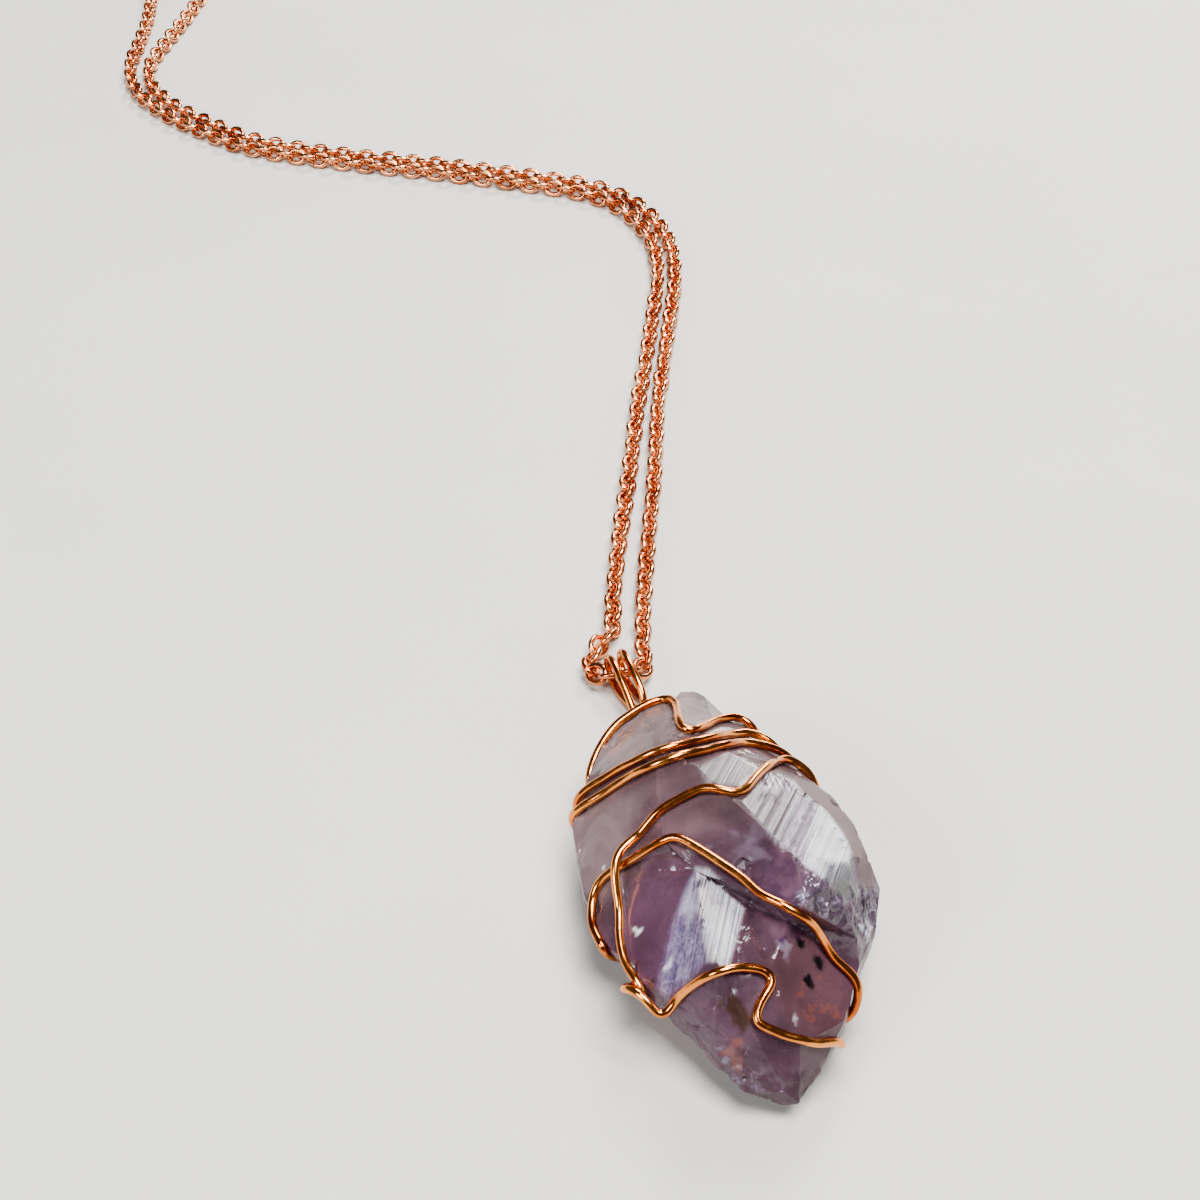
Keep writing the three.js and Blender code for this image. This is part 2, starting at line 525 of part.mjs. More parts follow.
function ringOf(radius, wire) {
  const profile = [];
  for (let side = 0; side <= 8; side += 1) {
    const angle = (2 * Math.PI * side) / 8;
    profile.push(new THREE.Vector2(radius + wire * Math.cos(angle), wire * Math.sin(angle)));
  }
  return new THREE.LatheGeometry(profile, 20);
}

function makeClasp() {
  const ring = ringOf(CLASP.radius, CLASP.wire);
  ring.rotateX(Math.PI / 2);
  ring.rotateY(-THREE.MathUtils.degToRad(CLASP.tilt));
  ring.translate(...CLASP.centre);
  return ring;
}

function makeEndRing() {
  const ring = ringOf(END_RING.radius, END_RING.wire);
  ring.translate(...END_RING.centre);
  return ring;
}

// The whole pendant

const pendant = new THREE.Group();
pendant.position.set(-CENTRE[0], -CENTRE[1], 0);

function addPart(name, geometry, color, roughness, metalness) {
  const material = new THREE.MeshStandardMaterial({ color, roughness, metalness });
  const mesh = new THREE.Mesh(geometry, material);
  mesh.name = name;
  pendant.add(mesh);
  return mesh;
}

const COPPER = 0xc8743c;
const ROSE_COPPER = 0xd08a6a;

const stone = addPart('amethyst', makeStone(), 0x8f7396, 0.15, 0.0);
const skin = new THREE.Mesh(stone.geometry, new THREE.MeshBasicMaterial({ side: THREE.DoubleSide }));
const skinTriangles = trianglesIn(stone.geometry);
const wireLine = [
  ...laidWire(skin, skinTriangles, TOP_PASS),
  ...BAIL.map((point) => new THREE.Vector3(...point)),
  ...laidWire(skin, skinTriangles, WRAP),
];
addPart('copper_wire', tubeAlong(wireLine, WIRE_DIAMETER, WIRE_SIDES), COPPER, 0.25, 1.0);

function addChain(name, line, steps) {
  addPart(name, tubeAlong(line, CHAIN_DIAMETER, CHAIN_SIDES, steps), ROSE_COPPER, 0.3, 1.0);
}

addChain('chain_bail', BAIL_PASS.map((point) => new THREE.Vector3(...point)), BAIL_PASS_STEPS);
addChain('chain_left', strandLine(-1, LEFT_START, LEFT_END), STRAND_STEPS);
addChain('chain_right', strandLine(1, RIGHT_START, RIGHT_END), STRAND_STEPS);
addPart('clasp', makeClasp(), ROSE_COPPER, 0.3, 1.0);
addPart('end_ring', makeEndRing(), ROSE_COPPER, 0.3, 1.0);

export default pendant;
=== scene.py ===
"""Looks of a rough amethyst crystal wrapped in copper wire, hanging on a copper cable chain.

The solids of the pendant are loaded as a fixed frame. This script makes the finished surfaces
round them: the crystal with its striated faces, breaks and inclusions, the round wire with its
bends and nicks, the links of the chain and its fastening, then the floor, lights and camera.
Sizes are in millimetres until a mesh is made, which holds metres.
"""

import logging
import math
from dataclasses import dataclass, field
from enum import Enum

import bpy
import numpy as np
from mathutils import Matrix, Vector
from mathutils.bvhtree import BVHTree


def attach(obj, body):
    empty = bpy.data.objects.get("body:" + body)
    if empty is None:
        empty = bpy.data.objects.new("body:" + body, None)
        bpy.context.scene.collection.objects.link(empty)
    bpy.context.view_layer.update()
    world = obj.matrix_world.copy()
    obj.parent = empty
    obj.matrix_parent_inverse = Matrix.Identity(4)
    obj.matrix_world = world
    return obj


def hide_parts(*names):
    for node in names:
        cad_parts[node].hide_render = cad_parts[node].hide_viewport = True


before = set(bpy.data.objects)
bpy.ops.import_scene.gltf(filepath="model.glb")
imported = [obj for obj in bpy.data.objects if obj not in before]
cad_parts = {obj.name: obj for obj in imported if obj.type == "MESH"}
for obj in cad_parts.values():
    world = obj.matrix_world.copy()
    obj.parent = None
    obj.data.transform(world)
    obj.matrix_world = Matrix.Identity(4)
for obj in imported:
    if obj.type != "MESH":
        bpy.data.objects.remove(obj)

LOG = logging.getLogger("pendant")
Array = np.ndarray
MM = 0.001
BODY = "root"
UP = np.array([0.0, 0.0, 1.0])

# Place of the row frame's origin in the maker's frame, in mm
CENTRE = np.array([-0.86, 1.74, 0.0])

# Radius and number of sides of the solid that stands for the wire
WIRE_RADIUS = 0.4
WIRE_SIDES = 6

# Just over the width of that solid, within which the vertices of one cut end lie
SECTION_REACH = 2.1 * WIRE_RADIUS


def placed(points: Array) -> Array:
    """Takes millimetres in the maker's frame to metres in the row frame."""
    return (np.asarray(points, float) - CENTRE) * MM


def measured(points: Array) -> Array:
    """Takes metres in the row frame back to millimetres in the maker's frame."""
    return np.asarray(points, float) / MM + CENTRE


def unit(vectors: Array) -> Array:
    """Scales each vector of the last axis to length one."""
    vectors = np.asarray(vectors, float)
    return vectors / np.maximum(np.linalg.norm(vectors, axis=-1, keepdims=True), 1e-12)


def smoothstep(low: float, high: float, value: Array) -> Array:
    """Eases from 0 at low to 1 at high: 3t^2 - 2t^3 of the clipped share t.

    Args:
        low: the value that gives 0.
        high: the value that gives 1.
        value: the values to ease.

    Returns:
        The eased shares.
    """
    share = np.clip((value - low) / (high - low), 0.0, 1.0)
    return share * share * (3.0 - 2.0 * share)


def lattice(cells: Array, seed: int) -> Array:
    """Gives each whole-number cell a fixed value from 0 to 1, by mixing its bits.

    Args:
        cells: the cells' whole numbers, three to a row.
        seed: which pattern.

    Returns:
        One value for each cell.
    """
    mixed = (
        cells[..., 0] * 374761393
        + cells[..., 1] * 668265263
        + cells[..., 2] * 2147483647
        + seed * 1274126177
    ) & 0xFFFFFFFF
    mixed = ((mixed ^ (mixed >> 13)) * 1103515245) & 0xFFFFFFFF
    mixed = ((mixed ^ (mixed >> 16)) * 668265263) & 0xFFFFFFFF
    return (mixed & 0xFFFFFF) / float(0xFFFFFF)


def noise(points: Array, scale: float, seed: int, octaves: int = 1) -> Array:
    """Value noise: the eight corners of a cell, eased between along each axis.

    The first octave runs from -1 to 1, and the finer ones are added to it.

    Args:
        points: places, in millimetres.
        scale: width of a cell, in millimetres.
        seed: which pattern.
        octaves: how many halvings of the cell are added, each with half the weight.

    Returns:
        One value for each place.
    """
    octave_shift = 37.7
    total = np.zeros(len(points))
    weight = 1.0
    for octave in range(octaves):
        spots = points / (scale * 0.5**octave) + octave_shift * (octave + 1)
        low = np.floor(spots).astype(np.int64)
        share = spots - low
        share = share * share * (3.0 - 2.0 * share)
        value = np.zeros(len(points))
        for corner in range(8):
            step = np.array([corner & 1, corner >> 1 & 1, corner >> 2 & 1])
            part = np.prod(np.where(step == 1, share, 1.0 - share), axis=1)
            value += part * lattice(low + step, seed + octave)
        total += weight * (2.0 * value - 1.0)
        weight *= 0.5
    return total


@dataclass(frozen=True)
class Pattern:
    """Noise of one kind: the width of its cells in mm, its seed and its octaves."""

    width: float
    seed: int
    octaves: int

    def at(self, points: Array) -> Array:
        """The noise at each point."""
        return noise(points, self.width, self.seed, self.octaves)

    def ridges(self, points: Array) -> Array:
        """Sharp ridges, 1 - |noise|, at most 1."""
        return 1.0 - np.abs(self.at(points))


@dataclass(frozen=True)
class Growth:
    """A set of growth lines: their direction and the pattern of their steps."""

    along: tuple[float, float, float]
    steps: Pattern

    def across(self) -> Array:
        """Finds the level direction square to the lines."""
        return unit(np.array([self.along[1], -self.along[0], 0.0]))

    def at(self, points: Array) -> Array:
        """The steps at each point: noise of one dimension, measured across the lines."""
        return self.steps.at(np.column_stack([points @ self.across(), np.zeros((len(points), 2))]))


HIGH_GROWTH = Growth((0.52, 0.80, -0.31), Pattern(0.9, 11, 3))
LOW_GROWTH = Growth((0.44, 0.90, -0.05), Pattern(0.9, 17, 3))

WAVES = Pattern(2.6, 3, 2)
BREAKS = Pattern(1.5, 23, 3)
CRUMBLES = Pattern(0.9, 29, 3)
TIP_BREAKS = Pattern(1.2, 31, 3)
CHIPS = Pattern(1.3, 41, 2)
CLOUDS = Pattern(4.5, 51, 3)
CLEARNESS = Pattern(3.2, 57, 2)
FROST = Pattern(2.2, 61, 3)
WARPS = (Pattern(0.9, 71, 3), Pattern(0.9, 73, 3))
WIRE_SWELL = Pattern(2.0, 81, 2)


def make_piece(name: str, points: Array, faces: list[Array], smooth: bool = True) -> bpy.types.Object:
    """Makes a mesh object at the origin from points in metres and arrays of faces.

    Args:
        name: the piece's name.
        points: one row for each vertex, in metres.
        faces: arrays of vertex numbers, one row for each face.
        smooth: whether the faces are shaded smooth.

    Returns:
        The object, linked to the scene.
    """
    mesh = bpy.data.meshes.new(name)
    mesh.vertices.add(len(points))
    mesh.vertices.foreach_set("co", np.asarray(points, np.float32).ravel())
    corners = np.concatenate([rows.ravel() for rows in faces]).astype(np.int32)
    sizes = np.concatenate([np.full(len(rows), rows.shape[1]) for rows in faces])
    starts = np.concatenate([[0], np.cumsum(sizes)[:-1]]).astype(np.int32)
    mesh.loops.add(len(corners))
    mesh.loops.foreach_set("vertex_index", corners)
    mesh.polygons.add(len(sizes))
    mesh.polygons.foreach_set("loop_start", starts)
    mesh.polygons.foreach_set("use_smooth", np.full(len(sizes), smooth))
    mesh.update(calc_edges=True)
    piece = bpy.data.objects.new(name, mesh)
    bpy.context.scene.collection.objects.link(piece)
    return piece


def finish_piece(
    piece: bpy.types.Object, material: bpy.types.Material, slot: str, *nodes: str
) -> None:
    """Gives a piece its material, lets it ride, and hides the solids that it stands for.

    Args:
        piece: the finished piece.
        material: its material.
        slot: not used.
        nodes: the solids that it replaces.
    """
    piece.data.materials.append(material)
    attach(piece, BODY)
    if nodes:
        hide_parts(*nodes)
    LOG.info("%s: %d faces", piece.name, len(piece.data.polygons))


def mesh_arrays(mesh: bpy.types.Mesh) -> tuple[Array, Array]:
    """Reads a mesh as two arrays.

    Args:
        mesh: the mesh.

    Returns:
        The places in metres, and the vertex numbers of each triangle.
    """
    places = np.empty(len(mesh.vertices) * 3, np.float32)
    mesh.vertices.foreach_get("co", places)
    mesh.calc_loop_triangles()
    triangles = np.empty(len(mesh.loop_triangles) * 3, np.int32)
    mesh.loop_triangles.foreach_get("vertices", triangles)
    return places.reshape(-1, 3), triangles.reshape(-1, 3)


def welded_solid(node: str) -> tuple[Array, Array]:
    """Reads a solid's triangles, with the vertices that share a place made one.

    Args:
        node: the solid's name in the frame.

    Returns:
        The places in millimetres, and the vertex numbers of each triangle.
    """
    places, triangles = mesh_arrays(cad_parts[node].data)
    _, first, shared = np.unique(np.round(places, 6), axis=0, return_index=True, return_inverse=True)
    return measured(places[first]), shared.ravel()[triangles]


def eased_line(points: Array, step: float) -> Array:
    """Runs a smooth curve through points and spaces it evenly.

    Each stretch is a Catmull-Rom cubic: its slope at a point is half the way between the two
    neighbours of that point. The curve is then measured and sampled again by its length.

    Args:
        points: the points to pass through.
        step: about how far apart the new points are.

    Returns:
        The evenly spaced points.
    """
    ends = np.vstack([2 * points[:1] - points[1:2], points, 2 * points[-1:] - points[-2:-1]])
    samples = 12
    share = np.linspace(0.0, 1.0, samples, endpoint=False)[:, None, None]
    before, start, stop, after = (ends[k : len(ends) - 3 + k][None] for k in range(4))
    curve = 0.5 * (
        2 * start
        + (stop - before) * share
        + (2 * before - 5 * start + 4 * stop - after) * share**2
        + (3 * start - before - 3 * stop + after) * share**3
    )
    dense = np.vstack([curve.transpose(1, 0, 2).reshape(-1, 3), points[-1:]])
    length = np.concatenate([[0.0], np.cumsum(np.linalg.norm(np.diff(dense, axis=0), axis=1))])
    spots = np.linspace(0.0, length[-1], max(2, int(round(length[-1] / step)) + 1))
    return np.column_stack([np.interp(spots, length, dense[:, k]) for k in range(3)])


def eased_shift(shift: Array, spread: float) -> Array:
    """Eases a row of vectors by a bell curve, exp(-d^2 / 2 spread^2) of the distance d in points.

    Args:
        shift: the vectors, one to a row. Past the ends they keep their last value.
        spread: the width of the bell, in points.

    Returns:
        The eased vectors.
    """
    reach = int(3 * spread)
    kernel = np.exp(-0.5 * (np.arange(-reach, reach + 1) / spread) ** 2)
    kernel /= kernel.sum()
    padded = np.pad(shift, ((reach, reach), (0, 0)), mode="edge")
    return np.column_stack([np.convolve(padded[:, k], kernel, "valid") for k in range(3)])


def frames_along(line: Array) -> tuple[Array, Array, Array]:
    """Finds the forward, side and upward directions at each point of a line, without twist.

    The side direction of each point is that of the point before, laid square to the new forward.

    Args:
        line: the points.

    Returns:
        The three directions, one row for each point.
    """
    forward = unit(np.gradient(line, axis=0))
    sides = np.zeros_like(line)
    side = unit(np.cross(UP, forward[0]))
    for index, ahead in enumerate(forward):
        side = unit(side - ahead * float(side @ ahead))
        sides[index] = side
    return forward, sides, np.cross(forward, sides)


def tube(line: Array, radii: Array, sides: int, closed: bool = False) -> tuple[Array, list[Array]]:
    """Carries a round section along a line.

    A point of the surface is the line's point plus the section's radius times
    (cos a * side + sin a * up). The two ends are closed by a fan round their own middle.

    Args:
        line: points of the middle line.
        radii: the radius at each of them.
        sides: how many sides the section has.
        closed: whether the last section joins the first.

    Returns:
        The points and the arrays of faces.
    """
    count = len(line)
    _, side, over = frames_along(line)
    angle = np.arange(sides) * 2 * math.pi / sides
    ring = np.cos(angle)[None, :, None] * side[:, None] + np.sin(angle)[None, :, None] * over[:, None]
    points = (line[:, None] + ring * np.asarray(radii)[:, None, None]).reshape(-1, 3)
    rows = np.arange(count if closed else count - 1)[:, None]
    here = np.arange(sides)[None]
    after = (here + 1) % sides
    onward = (rows + 1) % count
    walls = np.stack(
        [rows * sides + here, rows * sides + after, onward * sides + after, onward * sides + here], -1
    ).reshape(-1, 4)
    if closed:
        return points, [walls]
    points = np.vstack([points, line[:1], line[-1:]])
    first = np.full(sides, count * sides)
    last = first + 1
    base = (count - 1) * sides
    caps = np.vstack([
        np.column_stack([first, after[0], here[0]]),
        np.column_stack([last, base + here[0], base + after[0]]),
    ])
    return points, [walls, caps]


def joined(parts: list[tuple[Array, list[Array]]]) -> tuple[Array, list[Array]]:
    """Puts several surfaces in one, moving up the vertex numbers of each.

    Args:
        parts: the points and the arrays of faces of each surface.

    Returns:
        The points and the arrays of faces of them all.
    """
    points, faces, start = [], [], 0
    for part_points, part_faces in parts:
        points.append(part_points)
        faces += [rows + start for rows in part_faces]
        start += len(part_points)
    return np.vstack(points), faces


class Nodes:
    """A shorthand for a material's nodes."""

    def __init__(self, name: str) -> None:
        """Makes an empty material with an output.

        Args:
            name: the material's name.
        """
        self.material = bpy.data.materials.new(name)
        self.material.use_nodes = True
        self.tree = self.material.node_tree
        self.tree.nodes.clear()
        self.output = self.tree.nodes.new("ShaderNodeOutputMaterial")

    def add(self, kind: str, settings: dict | None = None, **inputs: object) -> bpy.types.Node:
        """Adds a node, sets its options, and sets or links its inputs by name.

        Args:
            kind: the node's kind.
            settings: its options.
            inputs: its inputs, with underscores for spaces.

        Returns:
            The node.
        """
        node = self.tree.nodes.new("ShaderNode" + kind)
        for key, value in (settings or {}).items():
            setattr(node, key, value)
        for key, value in inputs.items():
            self.put(node, key.replace("_", " "), value)
        return node

    def put(self, node: bpy.types.Node, key: str | int, value: object) -> None:
        """Sets one input of a node, or links an output to it.

        Args:
            node: the node.
            key: the input's name or number.
            value: a value, or another node's output.
        """
        socket = node.inputs[key]
        if isinstance(value, bpy.types.NodeSocket):
            self.tree.links.new(value, socket)
        else:
            socket.default_value = value

    def place(self) -> bpy.types.NodeSocket:
        """Object coordinates."""
        return self.add("TexCoord").outputs["Object"]

    def attribute(self, name: str, channel: str = "Fac") -> bpy.types.NodeSocket:
        """An attribute of the mesh."""
        return self.add("Attribute", {"attribute_name": name}).outputs[channel]

    def clouds(
        self, scale: float, detail: float = 3.0, rough: float = 0.55, **more: object
    ) -> bpy.types.NodeSocket:
        """Cloudy noise on object coordinates; scale counts patches in a metre."""
        node = self.add("TexNoise", Vector=self.place(), Scale=scale, Detail=detail, Roughness=rough, **more)
        return node.outputs["Fac"]

    def range(
        self, value: object, low: float, high: float, to_low: float, to_high: float
    ) -> bpy.types.NodeSocket:
        """Carries one range of values to another, clamped.

        Args:
            value: the value to carry.
            low: what becomes to_low.
            high: what becomes to_high.
            to_low: the new low end.
            to_high: the new high end.

        Returns:
            The carried value.
        """
        node = self.add("MapRange")
        for key, number in zip(range(5), (value, low, high, to_low, to_high)):
            self.put(node, key, number)
        return node.outputs[0]

    def math(self, operation: str, first: object, second: object = 0.0) -> bpy.types.NodeSocket:
        """Works out one sum of two values.

        Args:
            operation: the kind of sum.
            first: the first value.
            second: the second value.

        Returns:
            The result.
        """
        node = self.add("Math", {"operation": operation})
        self.put(node, 0, first)
        self.put(node, 1, second)
        return node.outputs[0]

    def mix(self, share: object, first: object, second: object, blend: str = "MIX") -> bpy.types.NodeSocket:
        """Mixes two colours.

        Args:
            share: the share of the second colour.
            first: the first colour.
            second: the second colour.
            blend: how they are mixed.

        Returns:
            The mixed colour.
        """
        node = self.add("MixRGB", {"blend_type": blend})
        for key, value in enumerate((share, first, second)):
            self.put(node, key, value)
        return node.outputs[0]

    def bump(
        self, height: object, distance: float, strength: object = 1.0, normal: object = None
    ) -> bpy.types.NodeSocket:
        """Bump from a height.

        Args:
            height: the height, from 0 to 1.
            distance: how far 1 stands out, in metres.
            strength: how much of it shows.
            normal: the bumped normal that this one is added to.

        Returns:
            The bumped normal.
        """
        node = self.add("Bump", Height=height, Distance=distance, Strength=strength)
        if normal is not None:
            self.put(node, "Normal", normal)
        return node.outputs[0]


Colour = tuple[float, float, float]


def opaque(colour: Colour) -> tuple[float, float, float, float]:
    """A colour with full cover."""
    return (*colour, 1.0)


@dataclass(frozen=True)
class CopperFinish:
    """Polished copper with soft waves, fine scratches and warmer, darker stains."""

    name: str
    bright: Colour
    deep: Colour
    roughness: float
    nick_depth: float
    scratch_share: float = 0.12
    stain_patches: float = 240.0
    polish_patches: float = 900.0
    wave_patches: float = 520.0
    scratch_patches: float = 5200.0

    def material(self) -> bpy.types.Material:
        """Builds the material; the patches are counted in a metre.

        Returns:
            The material.
        """
        nodes = Nodes(self.name)
        stain = nodes.range(nodes.clouds(self.stain_patches, 4.0), 0.42, 0.68, 0.0, 1.0)
        colour = nodes.mix(stain, opaque(self.bright), opaque(self.deep))
        polish = nodes.clouds(self.polish_patches, 4.0)
        rough = nodes.range(polish, 0.3, 0.75, self.roughness * 0.7, self.roughness * 1.8)
        waves = nodes.bump(nodes.clouds(self.wave_patches, 2.0), self.nick_depth)
        fine = nodes.clouds(self.scratch_patches, 3.0)
        scratches = nodes.bump(fine, self.nick_depth * self.scratch_share, normal=waves)
        shader = nodes.add(
            "BsdfPrincipled", Base_Color=colour, Metallic=1.0, Roughness=rough, Normal=scratches
        )
        nodes.put(nodes.output, "Surface", shader.outputs[0])
        return nodes.material


WIRE_COPPER = CopperFinish("wire_copper", (0.83, 0.33, 0.105), (0.44, 0.095, 0.02), 0.15, 0.00004)
LINK_COPPER = CopperFinish("link_copper", (0.86, 0.40, 0.21), (0.55, 0.17, 0.07), 0.20, 0.00003)


@dataclass(frozen=True)
class AmethystFinish:
    """Clear to milky quartz, tinted by the crystal's own attributes.

    The attribute tint is the body colour, with painted sheen, painted glints and a painted reflection
    in places; clear is the share of light let through, and frost is the roughness. striae_high and
    striae_low say where the fine growth lines run, whose stripes of colour are painted highlight and
    painted shade; veined says where pale healed cracks show, and broken where the surface is a fresh
    break, whose pale crumbs are painted sparkle.
    """

    name: str
    absorb: Colour
    density: float
    line_spacing: float
    line_depth: float
    line_shine: Colour
    vein_and_sparkle_colour: Colour
    ior: float = 1.544
    veil_light: Colour = (1.32, 1.36, 1.34)
    line_shade: Colour = (0.35, 0.30, 0.38)
    veil_patches: float = 170.0
    crumb_patches: tuple[float, float] = (900.0, 1100.0)
    grain_patches: float = 1500.0
    grain_depth: float = 0.00005
    crinkle_patches: float = 950.0
    crinkle_depth: float = 0.0006
    shard_patches: float = 620.0
    shard_depth: float = 0.0007

    def lines(self, nodes: Nodes, across: Array) -> bpy.types.NodeSocket:
        """Growth lines: noise of one dimension, measured across the lines.

        Args:
            nodes: the material's nodes.
            across: the direction across the lines.

        Returns:
            The noise.
        """
        measure = nodes.add("VectorMath", {"operation": "DOT_PRODUCT"})
        nodes.put(measure, 0, nodes.place())
        nodes.put(measure, 1, tuple(across))
        along = nodes.math("MULTIPLY", measure.outputs["Value"], 1.0 / self.line_spacing)
        pattern = nodes.add(
            "TexNoise", {"noise_dimensions": "1D"}, W=along, Scale=1.0, Detail=5.0, Roughness=0.75
        )
        return pattern.outputs["Fac"]

    def material(self, across_high: Array, across_low: Array) -> bpy.types.Material:
        """Builds the material; the patches are counted in a metre.

        Args:
            across_high: the direction across the growth lines of the high faces.
            across_low: that across the growth lines of the low face.

        Returns:
            The material.
        """
        nodes = Nodes(self.name)
        veil = nodes.range(nodes.clouds(self.veil_patches, 5.0, 0.6, Distortion=0.6), 0.40, 0.66, 0.0, 1.0)
        tint = nodes.attribute("tint", "Color")
        pale = nodes.mix(1.0, tint, opaque(self.veil_light), "MULTIPLY")
        colour = nodes.mix(veil, tint, pale)
        # Pale lilac crumbs: pale healed cracks on the veined patch, and painted sparkle on the fresh break
        cuts = (("veined", 0.47, 0.66), ("broken", 0.52, 0.64))
        for (mask, low, high), patches in zip(cuts, self.crumb_patches):
            crumbs = nodes.range(nodes.clouds(patches, 7.0, 0.72, Distortion=0.4), low, high, 0.0, 0.85)
            share = nodes.math("MULTIPLY", crumbs, nodes.attribute(mask))
            colour = nodes.mix(share, colour, opaque(self.vein_and_sparkle_colour))
        high, low = self.lines(nodes, across_high), self.lines(nodes, across_low)
        # Stripes of painted highlight (line_shine) and painted shade (line_shade) along the growth lines
        for pattern, mask in ((high, "striae_high"), (low, "striae_low")):
            shine = nodes.math("MULTIPLY", nodes.range(pattern, 0.47, 0.60, 0.0, 0.85), nodes.attribute(mask))
            shade = nodes.math("MULTIPLY", nodes.range(pattern, 0.47, 0.36, 0.0, 0.75), nodes.attribute(mask))
            colour = nodes.mix(shine, colour, opaque(self.line_shine))
            dark = nodes.mix(1.0, colour, opaque(self.line_shade), "MULTIPLY")
            colour = nodes.mix(shade, colour, dark)
        clear = nodes.math("MULTIPLY", nodes.attribute("clear"), nodes.range(veil, 0.0, 1.0, 1.0, 0.8))
        rough = nodes.attribute("frost")
        grain = nodes.clouds(self.grain_patches, 4.0)
        skin = nodes.bump(grain, self.grain_depth, nodes.range(rough, 0.05, 0.4, 0.08, 0.8))
        skin = nodes.bump(high, self.line_depth, nodes.attribute("striae_high"), skin)
        skin = nodes.bump(low, self.line_depth, nodes.attribute("striae_low"), skin)
        crinkle = nodes.clouds(self.crinkle_patches, 6.0, 0.7, Distortion=0.6)
        skin = nodes.bump(crinkle, self.crinkle_depth, nodes.attribute("veined"), skin)
        shards = nodes.add(
            "TexVoronoi", {"distance": "CHEBYCHEV"}, Vector=nodes.place(), Scale=self.shard_patches
        )
        skin = nodes.bump(shards.outputs["Distance"], self.shard_depth, nodes.attribute("broken"), skin)
        shader = nodes.add(
            "BsdfPrincipled",
            Base_Color=colour,
            Roughness=rough,
            IOR=self.ior,
            Transmission_Weight=clear,
            Normal=skin,
        )
        inside = nodes.add("VolumeAbsorption", Color=opaque(self.absorb), Density=self.density)
        nodes.put(nodes.output, "Surface", shader.outputs[0])
        nodes.put(nodes.output, "Volume", inside.outputs[0])
        return nodes.material


QUARTZ = AmethystFinish(
    "amethyst_quartz", (0.70, 0.42, 0.72), 95.0, 0.00034, 0.00012, (0.82, 0.82, 0.87), (0.55, 0.51, 0.72)
)


@dataclass(frozen=True)
class FloorFinish:
    """A plain pale matt sheet."""

    name: str = "pale_floor"
    colour: Colour = (0.62, 0.61, 0.58)
    roughness: float = 0.7
    patches: float = 30.0

    def material(self) -> bpy.types.Material:
        """Builds the material; the patches are counted in a metre.

        Returns:
            The material.
        """
        nodes = Nodes(self.name)
        tone = nodes.range(nodes.clouds(self.patches, 4.0), 0.3, 0.7, 0.96, 1.0)
        colour = nodes.mix(1.0, opaque(self.colour), tone, "MULTIPLY")
        shader = nodes.add("BsdfPrincipled", Base_Color=colour, Roughness=self.roughness)
        nodes.put(nodes.output, "Surface", shader.outputs[0])
        return nodes.material


@dataclass(frozen=True)
class Region:
    """A patch of the crystal's front: its outline seen from above in mm, colour and finish."""

    outline: tuple[tuple[float, float], ...]
    tint: Colour
    clear: float
    frost: float
    edge: float

    def cover(self, points: Array) -> Array:
        """How far inside the outline each point is, from 0 to 1, eased over the edge's width.

        The side of a point is found by counting the outline's edges that a ray crosses, and its
        depth is the distance to the nearest edge.

        Args:
            points: places in millimetres.

        Returns:
            The share of the patch at each of them.
        """
        corners = np.array(self.outline)
        inside = np.zeros(len(points), bool)
        nearest = np.full(len(points), np.inf)
        for (x0, y0), (x1, y1) in zip(corners, np.roll(corners, -1, axis=0)):
            crosses = (y0 > points[:, 1]) != (y1 > points[:, 1])
            reach = x0 + (points[:, 1] - y0) * (x1 - x0) / (y1 - y0 or 1.0)
            inside ^= crosses & (points[:, 0] < reach)
            way = np.array([x1 - x0, y1 - y0])
            share = np.clip(((points[:, :2] - (x0, y0)) @ way) / (way @ way), 0.0, 1.0)
            gap = np.linalg.norm(points[:, :2] - (x0, y0) - share[:, None] * way, axis=1)
            nearest = np.minimum(nearest, gap)
        return smoothstep(-self.edge, self.edge, np.where(inside, nearest, -nearest))


@dataclass(frozen=True)
class Spot:
    """A stain, cloud, inclusion, painted glint or painted reflection: its place from above in mm, size,
    colour and strength.
    """

    place: tuple[float, float]
    size: float
    tint: Colour
    strength: float = 1.0
    clear: float | None = None
    ragged: float = 0.5
    core: float = 0.45

    def cover(self, points: Array, warp: Array) -> Array:
        """Works out the share of the spot at each point: its strength in the core, 0 past its size.

        Args:
            points: places in millimetres.
            warp: a noise of two dimensions at each of them, which makes the edge ragged.

        Returns:
            The share of the spot at each point.
        """
        places = points[:, :2] + warp * self.ragged * self.size
        gap = np.linalg.norm(places - np.array(self.place), axis=1)
        return self.strength * (1.0 - smoothstep(self.core * self.size, self.size, gap))


# Colours of the crystal, linear light: mauve and purple body colours, the colours of stains and inclusions,
# and those of the painted sheen and glints
MAUVE: Colour = (0.140, 0.086, 0.100)
PLUM: Colour = (0.135, 0.066, 0.105)
DUSK: Colour = (0.090, 0.048, 0.066)
PALE_MAUVE: Colour = (0.245, 0.185, 0.19)
MILKY: Colour = (0.245, 0.175, 0.185)
MAROON: Colour = (0.165, 0.080, 0.098)
UMBER: Colour = (0.125, 0.075, 0.080)
VIOLET: Colour = (0.14, 0.095, 0.25)
GLEAM: Colour = (0.50, 0.47, 0.62)
LILAC: Colour = (0.30, 0.23, 0.31)
ASH: Colour = (0.21, 0.165, 0.18)
HAZE: Colour = (0.185, 0.13, 0.185)
# Pale silver of the painted sheen: it stands in for light reflected off the brightest faces, and for small
# glints
PAINTED_SHEEN: Colour = (0.66, 0.64, 0.69)
# White of the painted glints, where light catches small breaks
PAINTED_GLINT: Colour = (0.88, 0.88, 0.92)
INK: Colour = (0.045, 0.020, 0.058)
SMOKE: Colour = (0.11, 0.12, 0.17)
GLASS: Colour = (0.30, 0.32, 0.31)
